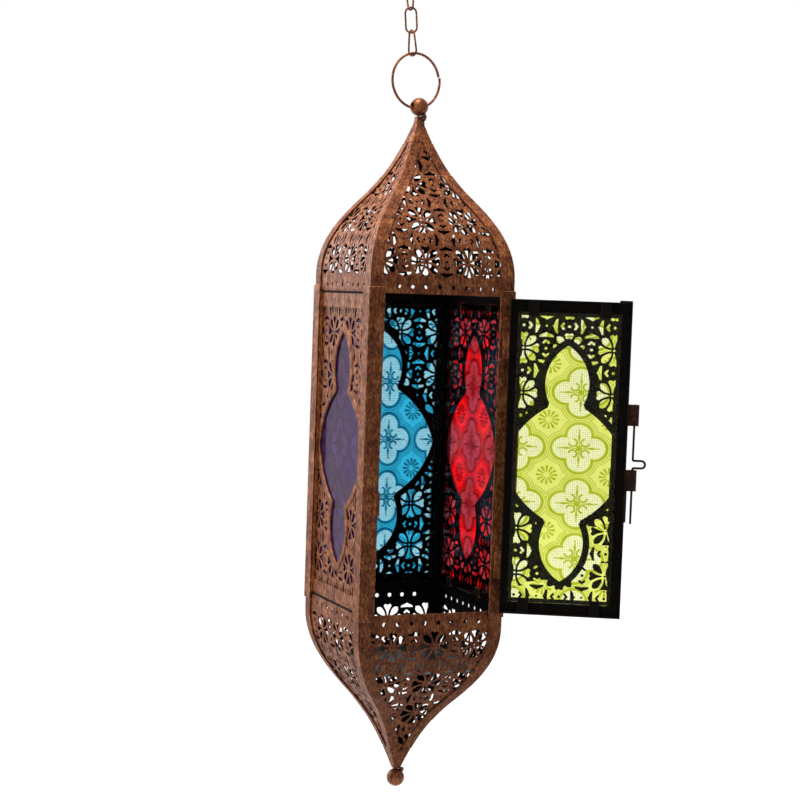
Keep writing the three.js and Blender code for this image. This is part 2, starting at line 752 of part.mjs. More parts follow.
function addLatch() {
  const farEdge = doorNearEdge + doorWidth;
  const bracket = (foot, tail) => {
    const plate = doorBox(farEdge - bracketLap, boltPlace + bracketReach, leafFace, bracketFace,
      foot, foot + bracketHeight);
    const strip = doorBox(farEdge - bracketLap, farEdge + tailReach, leafFace, bracketFace,
      foot - tail, foot + bracketHeight);
    return sleevePlate(tail ? join(plate, strip) : plate, foot, bracketHeight, -boltPlace, boltY - pinY);
  };
  addPiece(door, 'upper_bolt_bracket', bracket(upperBracketFoot, 0), darkTin);
  addPiece(door, 'lower_bolt_bracket', bracket(lowerBracketFoot, bracketTail), darkTin);

  const bend = handleHeight / 2;
  const bar = boltPlace + handleReach - bend;
  const corner = -boltPlace - boltCorner;
  const foot = lowerBracketFoot + bracketHeight + fit;
  const middle = foot + boltCorner + bend;
  const path = [
    new THREE.Vector2(-boltPlace, boltTop),
    ...arcPoints(new THREE.Vector2(corner, middle + bend + boltCorner), boltCorner, 0, -90, 3),
    ...arcPoints(new THREE.Vector2(-bar, middle), bend, 90, 270, 6),
    ...arcPoints(new THREE.Vector2(corner, foot), boltCorner, 90, 0, 3),
    new THREE.Vector2(-boltPlace, boltEnd),
  ];
  const bolt = wire(path, boltSize, 6).translate(0, boltY - pinY, 0);
  addPiece(door, 'latch_bolt', bolt, copper);

  const plate = box(-bodyHalf + postGauge, -postEdge + catchOverhang, -bracketFace, -leafFace,
    catchFoot, catchFoot + catchHeight);
  const housing = sleevePlate(plate, catchFoot, catchHeight, pinX - boltPlace, boltY);
  addPiece(lantern, 'latch_catch', housing, copper);
}

addLatch();

// Ring through the ball, then links and hook, each hanging in the one above

const ringRadius = (ringSize - ringWire) / 2;
const ballCentre = new THREE.Vector3(0, 0, topBallHeight);

function openRing() {
  const steps = 30;
  const gap = 180 / Math.PI * ringJointGap / ringRadius;
  const path = Array.from({ length: steps + 1 }, (_, i) => {
    const angle = radians(gap / 2 + (360 - gap) * i / steps);
    const radius = ringRadius + ringStep * (i / steps - 0.5);
    return new THREE.Vector2(radius * Math.cos(angle), radius * Math.sin(angle));
  });
  return wire(path, ringWire, 6);
}

// Link outline: two round ends joined by their tangents, its lowest point at the origin
function link(lowerWidth, upperWidth) {
  const length = linkLength - linkWire;
  const [lower, upper] = [(lowerWidth - linkWire) / 2, (upperWidth - linkWire) / 2];
  const tangent = Math.asin((lower - upper) / (length - lower - upper)) * 180 / Math.PI;
  const path = [
    ...arcPoints(new THREE.Vector2(0, lower), lower, 180 - tangent, 360 + tangent, 7),
    ...arcPoints(new THREE.Vector2(0, length - upper), upper, tangent, 180 - tangent, 7),
  ];
  return wire(path, linkWire, 6, true);
}

// Double hook: an eye for the chain below, an open bend above, joined by a slanting shank
function hook() {
  const [eye, bend] = [hookEye / 2, hookBend / 2];
  const lift = hookRise() - bend;
  const path = [
    ...arcPoints(new THREE.Vector2(0, eye), eye, 170, 360 + hookSlant, 8),
    ...arcPoints(new THREE.Vector2(0, lift), bend, 180 + hookSlant, -10, 8),
  ];
  return wire(path, hookWire, 6);
}

function hookRise() {
  const [eye, bend] = [hookEye / 2, hookBend / 2];
  const shank = (eye + bend) / Math.tan(radians(hookSlant));
  return eye + bend + (eye + bend) * Math.sin(radians(hookSlant)) + shank * Math.cos(radians(hookSlant));
}

const ringUp = new THREE.Vector3(-Math.sin(radians(ringLean)), 0, Math.cos(radians(ringLean)))
  .applyAxisAngle(new THREE.Vector3(0, 0, 1), radians(ringTurn));
const ringCentre = ballCentre.clone().addScaledVector(ringUp, ringRadius - ringSag);
const chainUp = new THREE.Vector3(-Math.sin(radians(chainLean)), 0, Math.cos(radians(chainLean)));

// Lowest wire centre of each piece of the chain, from the ring upwards
const linkRise = linkLength - 2 * linkWire - fit;
const lowLinkFoot = ringCentre.clone()
  .addScaledVector(ringUp, ringRadius)
  .addScaledVector(chainUp, -(ringWire + linkWire) / 2 - fit);
const middleLinkFoot = lowLinkFoot.clone().addScaledVector(chainUp, linkRise);
const highLinkFoot = middleLinkFoot.clone().addScaledVector(chainUp, linkRise);
const hookFoot = highLinkFoot.clone()
  .addScaledVector(chainUp, linkLength - linkWire - (linkWire + hookWire) / 2 - fit);
const hangPoint = hookFoot.clone().addScaledVector(chainUp, hookRise() - hookWire / 2);

// The ring leans in its own plane; the rest hangs from the ring's top, each turned on the chain's line
const ring = addPiece(lantern, 'hanging_ring', openRing(), copper);
ring.position.copy(ringCentre);
ring.rotation.set(0, radians(-ringLean), radians(ringTurn), 'ZYX');

function addHanging(name, geometry, place, turn) {
  const piece = addPiece(lantern, name, geometry, copper);
  piece.position.copy(place);
  piece.rotation.set(0, radians(-chainLean), radians(turn), 'YZX');
}

addHanging('chain_link_low', link(linkWidth, linkNarrow), lowLinkFoot, outerLinkTurn);
addHanging('chain_link_middle', link(linkWidth, linkWidth), middleLinkFoot, middleLinkTurn);
addHanging('chain_link_high', link(linkNarrow, linkWidth), highLinkFoot, outerLinkTurn);
addHanging('hanging_hook', hook(), hookFoot, outerLinkTurn + 90);

// Hung by the hook and tipped by the open door's weight
lantern.position.copy(hangPoint).negate();
const plumbed = new THREE.Group();
plumbed.rotation.y = radians(restLean);
plumbed.add(lantern);
const model = new THREE.Group();
model.add(plumbed);

export default model;
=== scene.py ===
import json
import math

import bmesh
import bpy
from mathutils import Matrix, Vector


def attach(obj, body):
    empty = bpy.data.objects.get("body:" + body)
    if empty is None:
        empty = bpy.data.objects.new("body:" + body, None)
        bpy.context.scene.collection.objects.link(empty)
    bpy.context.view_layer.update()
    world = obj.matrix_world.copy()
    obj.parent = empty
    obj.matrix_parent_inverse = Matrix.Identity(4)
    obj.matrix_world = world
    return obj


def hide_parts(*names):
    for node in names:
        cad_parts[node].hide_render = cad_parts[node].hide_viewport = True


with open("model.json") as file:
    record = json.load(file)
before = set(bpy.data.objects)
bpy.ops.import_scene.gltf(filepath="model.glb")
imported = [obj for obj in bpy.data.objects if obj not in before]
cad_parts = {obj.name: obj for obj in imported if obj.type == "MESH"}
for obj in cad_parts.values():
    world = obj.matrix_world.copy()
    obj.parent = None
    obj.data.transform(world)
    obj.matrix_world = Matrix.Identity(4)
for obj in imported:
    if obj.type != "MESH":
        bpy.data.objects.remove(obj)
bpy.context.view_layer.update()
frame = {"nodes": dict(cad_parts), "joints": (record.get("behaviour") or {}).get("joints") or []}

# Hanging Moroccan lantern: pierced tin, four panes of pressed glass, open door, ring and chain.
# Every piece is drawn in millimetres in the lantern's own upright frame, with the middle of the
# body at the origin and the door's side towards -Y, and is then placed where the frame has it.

mm = 0.001

body = {
    "half": 60, "postFlange": 12.8, "postGauge": 1, "postHalfHeight": 125, "tin": 0.7, "fit": 0.3,
    "ballHeight": 264.8,
}
doorLeaf = {
    "angle": 152, "pinX": 50.5, "pinY": -62.5, "windowPlace": 48.6, "windowHalfWidth": 36.1,
    "windowHalfHeight": 107.35, "glassLap": 2.9,
}

# Where the frame holds the lantern: its axis leans a little, as it hangs with the door open
joints = {joint["name"]: joint for joint in frame["joints"]}
bodyUp = Vector(joints["door_hinge"]["axis"]).normalized()
bodyAcross = Vector((bodyUp.z, 0, -bodyUp.x)).normalized()
bodyBack = bodyUp.cross(bodyAcross)
ballCentre = Vector(joints["lantern_swing"]["pos_m"])
lanternPlace = Matrix.Translation(ballCentre - bodyUp * body["ballHeight"] * mm) @ Matrix(
    (bodyAcross, bodyBack, bodyUp)).transposed().to_4x4()
doorPlace = (lanternPlace @ Matrix.Translation(Vector((doorLeaf["pinX"], doorLeaf["pinY"], 0)) * mm)
             @ Matrix.Rotation(math.radians(doorLeaf["angle"]), 4, "Z"))
toMetres = Matrix.Scale(mm, 4)


def quarterTurn(turns):
    return Matrix.Rotation(turns * math.pi / 2, 4, "Z")


sides = {"front": 0, "right": 1, "back": 2, "left": 3}
corners = {"front_right": 0, "back_right": 1, "back_left": 2, "front_left": 3}

# Materials are made first, so that every piece can name its own


def srgb(text):
    channels = [int(text[i:i + 2], 16) / 255 for i in (1, 3, 5)]
    return [c / 12.92 if c <= 0.04045 else ((c + 0.055) / 1.055) ** 2.4 for c in channels] + [1]


# Each input takes a link or a plain value
def feed(tree, node, links):
    for name, source in links.items():
        if isinstance(source, bpy.types.NodeSocket):
            tree.links.new(source, node.inputs[name])
        else:
            node.inputs[name].default_value = source


# Settings are the node's own or its inputs' values, and links are by input name or in their order
def addNode(tree, kind, settings=None, links=None):
    node = tree.nodes.new("ShaderNode" + kind)
    for name, value in (settings or {}).items():
        if isinstance(name, int) or name in node.inputs:
            node.inputs[name].default_value = value
        else:
            setattr(node, name, value)
    feed(tree, node, links if isinstance(links, dict) else dict(enumerate(links or [])))
    return node


# Math nodes from a table: a step's name, its operation, and its inputs as names or numbers
def addSteps(tree, steps, found):
    for step, operation, *inputs in steps:
        sources = [found[value] if isinstance(value, str) else value for value in inputs]
        found[step] = addNode(tree, "Math", {"operation": operation}, sources).outputs[0]
    return found


def startMaterial(name):
    material = bpy.data.materials.new(name)
    material.use_nodes = True
    tree = material.node_tree
    tree.nodes.clear()
    shader = addNode(tree, "BsdfPrincipled")
    addNode(tree, "OutputMaterial", None, {"Surface": shader.outputs[0]})
    return material, tree, shader


def setRamp(node, stops):
    ramp = node.color_ramp
    while len(ramp.elements) < len(stops):
        ramp.elements.new(0.5)
    for element, (place, colour) in zip(ramp.elements, stops):
        element.position = place
        element.color = srgb(colour) if isinstance(colour, str) else (colour, colour, colour, 1)


def addNoise(tree, place, grain, detail, roughness=0.5):
    return addNode(tree, "TexNoise", {
        "Scale": 1 / (grain * mm), "Detail": detail, "Roughness": roughness}, {
        "Vector": place}).outputs[0]


def colourMix(tree, factor, first, second, blend="MIX"):
    return addNode(tree, "Mix", {"data_type": "RGBA", "blend_type": blend}, {
        0: factor, 6: first, 7: second}).outputs[2]


# Tin painted dark brown, with copper paint dabbed and dragged over it: cloudy at 9 mm, with fine
# streaks that run along the metal and dark specks at 0.9 mm where the brush missed. Little metal is
# left bare, so most of the shine is the paint's own, and that lies a little rough. Where a face
# looks towards the lantern's own axis it is made near-black and dull: partly dark paint, partly
# painted shade of the unlit inside.
def paintedTin(name, dark, middle, bright, metallic, roughness, bumpDepth, sheen, darkAndShadedInside=False):
    material, tree, shader = startMaterial(name)
    coordinates = addNode(tree, "TexCoord")
    place = coordinates.outputs["Object"]
    stretched = addNode(tree, "Mapping", {"Scale": (1, 1, 0.35)}, {"Vector": place})
    streaks = addNoise(tree, stretched.outputs[0], 1.3, 4, 0.7)
    mixed = addNode(tree, "Mix", {"data_type": "FLOAT", "Factor": 0.6}, {
        2: addNoise(tree, place, 9, 5, 0.6), 3: streaks})
    brushed = addNode(tree, "ValToRGB", None, {0: mixed.outputs[0]})
    setRamp(brushed, [(0.38, dark), (0.5, middle), (0.62, bright)])
    missed = addNode(tree, "MapRange", {
        "From Min": 0.58, "From Max": 0.68, "To Min": 0, "To Max": 0.8}, {
        "Value": addNoise(tree, place, 0.9, 2)})
    colour = colourMix(tree, missed.outputs[0], brushed.outputs[0], srgb(dark))
    worn = addNode(tree, "MapRange", {
        "From Min": 0.35, "From Max": 0.65, "To Min": roughness + 0.12, "To Max": roughness - 0.1}, {
        "Value": mixed.outputs[0]}).outputs[0]
    bump = addNode(tree, "Bump", {"Strength": 0.5, "Distance": bumpDepth * mm}, {
        "Height": streaks})
    bare = metallic
    if darkAndShadedInside:
        inwards = looksInwards(tree, coordinates)
        # inward faces turn near-black and dull: partly dark paint, partly painted shade of the unlit
        # inside
        colour = colourMix(tree, inwards, colour, srgb("#070403"))
        found = addSteps(tree, [
            ("dull", "MAXIMUM", "worn", "inwards"),
            ("bare", "MULTIPLY_ADD", "inwards", -metallic, metallic),
        ], {"worn": worn, "inwards": inwards})
        worn, bare = found["dull"], found["bare"]
    feed(tree, shader, {"Base Color": colour, "Metallic": bare, "Roughness": worn,
                        "Specular IOR Level": sheen, "Normal": bump.outputs[0]})
    return material


# 1 on the inner faces of the body's four sides, 0 elsewhere
def looksInwards(tree, coordinates):
    upright = addNode(tree, "Mapping", {
        "vector_type": "TEXTURE", "Location": lanternPlace.to_translation(),
        "Rotation": lanternPlace.to_euler()}, {"Vector": coordinates.outputs["Object"]})
    place = addNode(tree, "SeparateXYZ", None, {0: upright.outputs[0]})
    normal = addNode(tree, "SeparateXYZ", None, {0: coordinates.outputs["Normal"]})
    found = {"x": place.outputs[0], "y": place.outputs[1],
             "normalX": normal.outputs[0], "normalY": normal.outputs[1]}
    steps = [
        ("reachX", "ABSOLUTE", "x"),
        ("reachY", "ABSOLUTE", "y"),
        ("onLeftOrRight", "GREATER_THAN", "reachX", "reachY"),
        ("onFrontOrBack", "SUBTRACT", 1, "onLeftOrRight"),
        ("outX", "MULTIPLY", "x", "normalX"),
        ("outY", "MULTIPLY", "y", "normalY"),
        ("outOnX", "MULTIPLY", "outX", "onLeftOrRight"),
        ("outwards", "MULTIPLY_ADD", "outY", "onFrontOrBack", "outOnX"),
        ("inwards", "LESS_THAN", "outwards", -0.002),
    ]
    return addSteps(tree, steps, found)["inwards"]


agedCopper = paintedTin("agedCopperPaint", "#2a130a", "#9c5430", "#e0955f", 0.05, 0.5, 0.2, 0.22,
                        darkAndShadedInside=True)
# Bright copper for rounded edges and cut walls: partly rubbed paint, partly a painted highlight where the
# edges catch the light
rubbedAndHighlitCopper = paintedTin("rubbedAndHighlitEdge", "#6e3a1f", "#bd7040", "#eaaa74", 0.15, 0.42, 0.12, 0.25,
                          darkAndShadedInside=True)
# Near-black for the backs of the sheets and the door's frame: partly dark paint, partly painted shade of
# the unlit, backlit inside
darkPaintAndShade = paintedTin("darkInsidePaintAndShade", "#020101", "#050302", "#110906", 0.0, 0.7, 0.2, 0.08)
# Dark brown with brighter worn edges for the door's frame edges, brackets and bolt: worn paint, made dark
# as painted shade of the backlit door
wornEdgeInShade = paintedTin("wornEdgeInShade", "#120a06", "#2b170d", "#6b3f25", 0.1, 0.5, 0.15, 0.15)
wireCopper = paintedTin("wireCopperPaint", "#4a220f", "#8f4c28", "#cc8048", 0.3, 0.4, 0.1, 0.3)


# Hot-dipped sheet: flat zinc crystals about 8 mm across, each a slightly different grey
def zincSheet():
    material, tree, shader = startMaterial("galvanisedSheet")
    place = addNode(tree, "TexCoord").outputs["Object"]
    crystals = addNode(tree, "TexVoronoi", {"Scale": 1 / (8 * mm)}, {"Vector": place})
    grey = addNode(tree, "ValToRGB", None, {0: crystals.outputs["Distance"]})
    setRamp(grey, [(0.1, "#8f9194"), (0.8, "#63666a")])
    soot = addNoise(tree, place, 15, 5)
    stained = colourMix(tree, soot, grey.outputs[0], srgb("#8a7d74"), "MULTIPLY")
    feed(tree, shader, {"Base Color": stained, "Metallic": 0.85, "Roughness": 0.42})
    return material


galvanised = zincSheet()


# Dull lead solder that ran and was brushed over with brown
def solderLump():
    material, tree, shader = startMaterial("brownedSolder")
    place = addNode(tree, "TexCoord").outputs["Object"]
    skin = addNoise(tree, place, 2, 5)
    colour = addNode(tree, "ValToRGB", None, {0: skin})
    setRamp(colour, [(0.35, "#2c1109"), (0.65, "#6d3a22")])
    bump = addNode(tree, "Bump", {"Distance": 0.3 * mm}, {"Height": skin})
    feed(tree, shader, {"Base Color": colour.outputs[0], "Normal": bump.outputs[0],
                        "Metallic": 0.4, "Roughness": 0.45})
    return material


solder = solderLump()

# The pressed pattern repeats in cells. Lengths here are shares of a cell, counted from a foil's middle
glassRelief = {"cellWidth": 47, "cellHeight": 42, "lobePlace": 0.235, "lobeRadius": 0.215,
               "stipple": 1.4, "petals": 12}
reliefSteps = [
    ("cellsAcross", "DIVIDE", "across", glassRelief["cellWidth"]),
    ("cellsAlong", "DIVIDE", "along", glassRelief["cellHeight"]),
    ("wholeAcross", "ROUND", "cellsAcross"),
    ("wholeAlong", "ROUND", "cellsAlong"),
    ("offAcross", "SUBTRACT", "cellsAcross", "wholeAcross"),
    ("offAlong", "SUBTRACT", "cellsAlong", "wholeAlong"),
    ("x", "ABSOLUTE", "offAcross"),
    ("y", "ABSOLUTE", "offAlong"),
    ("xSquare", "MULTIPLY", "x", "x"),
    ("ySquare", "MULTIPLY", "y", "y"),
    ("middleSquare", "ADD", "xSquare", "ySquare"),
    # quatrefoil with a raised line on its edge and another round it
    ("besideLobe", "SUBTRACT", "x", glassRelief["lobePlace"]),
    ("aboveLobe", "SUBTRACT", "y", glassRelief["lobePlace"]),
    ("sideSquare", "MULTIPLY_ADD", "besideLobe", "besideLobe", "ySquare"),
    ("topSquare", "MULTIPLY_ADD", "aboveLobe", "aboveLobe", "xSquare"),
    ("lobeSquare", "MINIMUM", "sideSquare", "topSquare"),
    ("lobeReach", "SQRT", "lobeSquare"),
    ("foil", "SUBTRACT", "lobeReach", glassRelief["lobeRadius"]),
    ("outerLine", "COMPARE", "foil", 0.052, 0.013),
    ("innerLine", "COMPARE", "foil", 0.0, 0.024),
    ("lozenge", "COMPARE", "foil", 0.092, 0.012),
    # four arms, each with a spear's head, about a knob
    ("nearer", "MINIMUM", "x", "y"),
    ("farther", "MAXIMUM", "x", "y"),
    ("pastHead", "SUBTRACT", "farther", 0.2),
    ("headSlope", "ABSOLUTE", "pastHead"),
    ("headReach", "MULTIPLY_ADD", "headSlope", 0.25, "nearer"),
    ("head", "LESS_THAN", "headReach", 0.024),
    ("thinPart", "LESS_THAN", "nearer", 0.007),
    ("shortPart", "LESS_THAN", "farther", 0.34),
    ("shaft", "MULTIPLY", "thinPart", "shortPart"),
    ("knob", "LESS_THAN", "middleSquare", 0.0007),
    # a scroll between every two arms, open towards the edge
    ("scrollX", "SUBTRACT", "x", 0.1),
    ("scrollY", "SUBTRACT", "y", 0.1),
    ("scrollXSquare", "MULTIPLY", "scrollX", "scrollX"),
    ("scrollSquare", "MULTIPLY_ADD", "scrollY", "scrollY", "scrollXSquare"),
    ("scrollReach", "SQRT", "scrollSquare"),
    ("scrollRing", "COMPARE", "scrollReach", 0.066, 0.016),
    ("slanting", "ADD", "x", "y"),
    ("scrollOpen", "LESS_THAN", "slanting", 0.255),
    ("scroll", "MULTIPLY", "scrollRing", "scrollOpen"),
    # a daisy where four foils meet
    ("cornerX", "SUBTRACT", 0.5, "x"),
    ("cornerY", "SUBTRACT", 0.5, "y"),
    ("cornerXSquare", "MULTIPLY", "cornerX", "cornerX"),
    ("cornerSquare", "MULTIPLY_ADD", "cornerY", "cornerY", "cornerXSquare"),
    ("cornerReach", "SQRT", "cornerSquare"),
    ("cornerAngle", "ARCTAN2", "cornerY", "cornerX"),
    ("petalTurn", "MULTIPLY", "cornerAngle", glassRelief["petals"]),
    ("petalWave", "COSINE", "petalTurn"),
    ("petalLeaf", "GREATER_THAN", "petalWave", -0.1),
    ("daisyRing", "COMPARE", "cornerReach", 0.11, 0.06),
    ("daisy", "MULTIPLY", "petalLeaf", "daisyRing"),
    # all the raised lines together, and the fine dots that fill the foils
    ("fineLines", "MAXIMUM", "outerLine", "lozenge"),
    ("fainter", "MULTIPLY", "fineLines", 0.6),
    ("edgeLines", "MAXIMUM", "innerLine", "fainter"),
    ("spears", "MAXIMUM", "head", "shaft"),
    ("armLines", "MAXIMUM", "spears", "knob"),
    ("innerLines", "MAXIMUM", "armLines", "scroll"),
    ("flowerLines", "MAXIMUM", "innerLines", "daisy"),
    ("lines", "MAXIMUM", "edgeLines", "flowerLines"),
    ("insideFoil", "LESS_THAN", "foil", -0.03),
    ("field", "GREATER_THAN", "insideFoil", "lines"),
    ("nearDot", "LESS_THAN", "dotReach", 0.42),
    ("dots", "MULTIPLY", "nearDot", "field"),
    ("raised", "MULTIPLY_ADD", "dots", 0.5, "lines"),
    ("cloudShift", "MULTIPLY_ADD", "cloud", 0.6, -0.3),
    ("cloudyLines", "MULTIPLY_ADD", "lines", 0.9, "cloudShift"),
    ("between", "SUBTRACT", "field", "dots"),
    ("shadedField", "MULTIPLY_ADD", "between", 0.5, "cloudyLines"),
    ("tint", "MAXIMUM", "shadedField", 0),
    ("glints", "MULTIPLY", "field", 0.9),
]


# Soda-lime glass pressed with a quatrefoil relief: double lined foils filled with fine dots, a
# four-armed scroll inside, and a daisy where four foils meet. The raised lines are thicker and so
# deeper in colour, and the dotted fields scatter more of the light. Dust and soot dull the panes, so
# they mirror less than clean glass, and the IOR is lower than its 1.5. The pattern is in the pane's
# own UV map, in millimetres, turned and shifted for each pane.
def pressedGlass(name, clear, line, glint, turn, shift, haze):
    material, tree, shader = startMaterial(name)
    uv = addNode(tree, "UVMap", {"uv_map": "paneMm"})
    turned = addNode(tree, "Mapping", {
        "Location": (shift[0], shift[1], 0), "Rotation": (0, 0, math.radians(turn))}, {
        "Vector": uv.outputs[0]})
    split = addNode(tree, "SeparateXYZ", None, {0: turned.outputs[0]})
    dots = addNode(tree, "TexVoronoi", {
        "Scale": 1 / glassRelief["stipple"], "Randomness": 0.2, "voronoi_dimensions": "2D"}, {
        "Vector": turned.outputs[0]})
    clouds = addNode(tree, "TexNoise", {"Scale": 1 / 9, "Detail": 3}, {
        "Vector": turned.outputs[0]})
    found = addSteps(tree, reliefSteps, {
        "across": split.outputs[0], "along": split.outputs[1],
        "dotReach": dots.outputs["Distance"], "cloud": clouds.outputs[0]})
    field = colourMix(tree, found["glints"], srgb(clear), srgb(glint))
    bump = addNode(tree, "Bump", {"Strength": 0.6, "Distance": 0.5 * mm}, {
        "Height": found["raised"]})
    feed(tree, shader, {"Base Color": colourMix(tree, found["tint"], field, srgb(line)),
                        "Normal": bump.outputs[0], "Transmission Weight": 1 - haze, "IOR": 1.2,
                        "Roughness": 0.12})
    return material


print("materials")

# Shared shaping


# A piece in the scene from its shape in millimetres, its bends smooth up to an angle if one is given
def newObject(name, shape, place, materials, smoothAngle=None):
    mesh = bpy.data.meshes.new(name)
    shape.to_mesh(mesh)
    shape.free()
    if smoothAngle:
        mesh.shade_smooth()
        mesh.set_sharp_from_angle(angle=math.radians(smoothAngle))
    mesh.transform(place @ toMetres)
    for material in materials:
        mesh.materials.append(material)
    piece = bpy.data.objects.new(name, mesh)
    bpy.context.scene.collection.objects.link(piece)
    return piece


def finish(piece, bodyName, slotName, *nodes):
    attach(piece, bodyName)
    if nodes:
        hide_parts(*nodes)


def capitalised(nodeName):
    return "".join(word.capitalize() for word in nodeName.split("_"))


def shifted(shape, *distance):
    bmesh.ops.translate(shape, verts=shape.verts, vec=distance)
    return shape


def joined(shapes):
    whole = bmesh.new()
    for shape in shapes:
        loose = bpy.data.meshes.new("loose")
        shape.to_mesh(loose)
        shape.free()
        whole.from_mesh(loose)
        bpy.data.meshes.remove(loose)
    return whole


# Flat sheet or wire from a curve, in millimetres
def curveShape(paths, flat=False, closed=True, extrude=0, wire=0, rounding=2):
    curve = bpy.data.curves.new("drawn", "CURVE")
    curve.dimensions = "2D" if flat else "3D"
    curve.fill_mode = "BOTH" if flat else "FULL"
    curve.extrude = extrude
    curve.bevel_depth = wire
    curve.bevel_resolution = rounding
    curve.use_fill_caps = not flat
    if flat:
        curve.offset = -wire
    for path in paths:
        spline = curve.splines.new("POLY")
        spline.points.add(len(path) - 1)
        for point, place in zip(spline.points, path):
            point.co = (*place, 0, 1) if flat else (*place, 1)
        spline.use_cyclic_u = closed
    holder = bpy.data.objects.new("drawn", curve)
    bpy.context.scene.collection.objects.link(holder)
    bpy.context.view_layer.update()
    mesh = bpy.data.meshes.new_from_object(holder.evaluated_get(bpy.context.evaluated_depsgraph_get()))
    bpy.data.objects.remove(holder)
    bpy.data.curves.remove(curve)
    shape = bmesh.new()
    shape.from_mesh(mesh)
    bpy.data.meshes.remove(mesh)
    bmesh.ops.remove_doubles(shape, verts=shape.verts, dist=0.004)
    if flat and not wire:
        turnSheetOutwards(shape)
    else:
        bmesh.ops.recalc_face_normals(shape, faces=shape.faces)
    return shape


# The two faces of a cut sheet look away from its middle, and each wall follows the face it meets
def turnSheetOutwards(sheet):
    for face in sheet.faces:
        if abs(face.normal.z) > 0.5 and face.normal.z * face.calc_center_median().z < 0:
            face.normal_flip()
    for face in sheet.faces:
        if abs(face.normal.z) < 0.5:
            for loop in face.loops:
                beside = loop.link_loop_radial_next
                if abs(beside.face.normal.z) > 0.5 and beside.vert == loop.vert:
                    face.normal_flip()
                    break


# A first outline drawn out through the others, like metal through a row of dies
def drawnThrough(sections):
    shape = bmesh.new()
    end = shape.faces.new([shape.verts.new(point) for point in sections[0]])
    for section in sections[1:]:
        grown = bmesh.ops.extrude_face_region(shape, geom=[end])["geom"]
        end = next(item for item in grown if isinstance(item, bmesh.types.BMFace))
        for vert, point in zip(end.verts, section):
            vert.co = point
    bmesh.ops.recalc_face_normals(shape, faces=shape.faces)
    return shape


# Folded edges are round, and their bevels take the piece's second paint, mostly bright copper that is
# partly caught by the brush and partly a painted highlight
def softenEdges(piece, width):
    bevel = piece.modifiers.new("edges", "BEVEL")
    bevel.width = width * mm
    bevel.segments = 2
    bevel.limit_method = "ANGLE"
    bevel.angle_limit = math.radians(40)
    bevel.material = 1


def arc(centreX, centreY, radius, start, stop, steps):
    angles = [math.radians(start + (stop - start) * i / steps) for i in range(steps + 1)]
    return [(centreX + radius * math.cos(a), centreY + radius * math.sin(a)) for a in angles]


def arcThrough(start, middle, end, steps):
    a, b = Vector(middle) - Vector(start), Vector(end) - Vector(start)
    double = 2 * (a.x * b.y - a.y * b.x)
    centre = Vector(start) + Vector((
        (b.y * a.length_squared - a.y * b.length_squared) / double,
        (a.x * b.length_squared - b.x * a.length_squared) / double))
    angles = [math.degrees(math.atan2(p[1] - centre.y, p[0] - centre.x)) for p in (start, end)]
    turn = (angles[1] - angles[0] + 540) % 360 - 180
    return arc(centre.x, centre.y, (Vector(start) - centre).length, angles[0], angles[0] + turn, steps)


# Fretwork: one lattice of flowers, stars and roundels, cut by the same dies everywhere

fretwork = {
    "pitch": 17.05, "crescentRadius": 10.4, "crescentWidth": 3.2, "crescentHalfAngle": 33,
    "hubHole": 0.9, "roundelHole": 1.2,
}
# Dies that are the same on both sides of their middle line, with half their outline in shares of
# the length and half the width
dies = {
    "petal": {"start": 2.8, "length": 10.2, "width": 5.4, "halfOutline": [
        (0, 0), (0.18, 0.5), (0.42, 0.86), (0.66, 1), (0.86, 0.72), (1, 0)]},
    "tulip": {"start": 2.2, "length": 9.7, "width": 7, "halfOutline": [
        (0, 0.1), (0.4, 0.34), (0.68, 0.75), (0.84, 1), (0.96, 0.8), (1, 0.4), (0.9, 0)]},
    "chevron": {"start": 5.0, "length": 3.4, "width": 5.6, "halfOutline": [
        (0.55, 0), (0.25, 0.5), (-0.05, 0.95), (-0.35, 1), (-0.45, 0.6), (-0.3, 0.3), (-0.05, 0)]},
}


def turnedPoints(points, degrees, centre):
    cosine, sine = math.cos(math.radians(degrees)), math.sin(math.radians(degrees))
    return [(centre[0] + x * cosine - y * sine, centre[1] + x * sine + y * cosine) for x, y in points]


def dieHole(name):
    die = dies[name]
    half = [(die["start"] + die["length"] * t, die["width"] / 2 * w) for t, w in die["halfOutline"]]
    return half + [(x, -y) for x, y in reversed(half) if y > 0.01]


def crescentHole():
    radius, half, spread = (fretwork["crescentRadius"], fretwork["crescentWidth"] / 2,
                            fretwork["crescentHalfAngle"])
    shares = [(1, -0.1), (0.8, 0.5), (0.45, 0.6), (0.2, 0.75), (0, 1.3), (-0.2, 0.75), (-0.45, 0.6),
              (-0.8, 0.5), (-1, -0.1), (-0.6, -0.8), (0, -1), (0.6, -0.8)]
    outline = []
    for turn, rise in shares:
        angle, reach = math.radians(180 - turn * spread), radius + rise * half
        outline.append((fretwork["pitch"] + reach * math.cos(angle), reach * math.sin(angle)))
    return outline


def roundHole(radius, sidesCount=6):
    return arc(0, 0, radius, 0, 360 - 360 / sidesCount, sidesCount - 1)


def motif(column, row):
    if column % 2 == 0 and row % 2 == 0:
        holes = [(dieHole("petal"), 45 + 90 * i) for i in range(4)]
        holes += [(dieHole("tulip"), 90 * i) for i in range(4)]
        return holes + [(roundHole(fretwork["hubHole"]), 0)]
    if column % 2 and row % 2:
        return [(crescentHole(), 90 * i) for i in range(4)] + [(roundHole(fretwork["hubHole"]), 0)]
    facing = 90 if column % 2 else 0
    return [(dieHole("chevron"), facing), (dieHole("chevron"), facing + 180),
            (roundHole(fretwork["roundelHole"]), 0)]


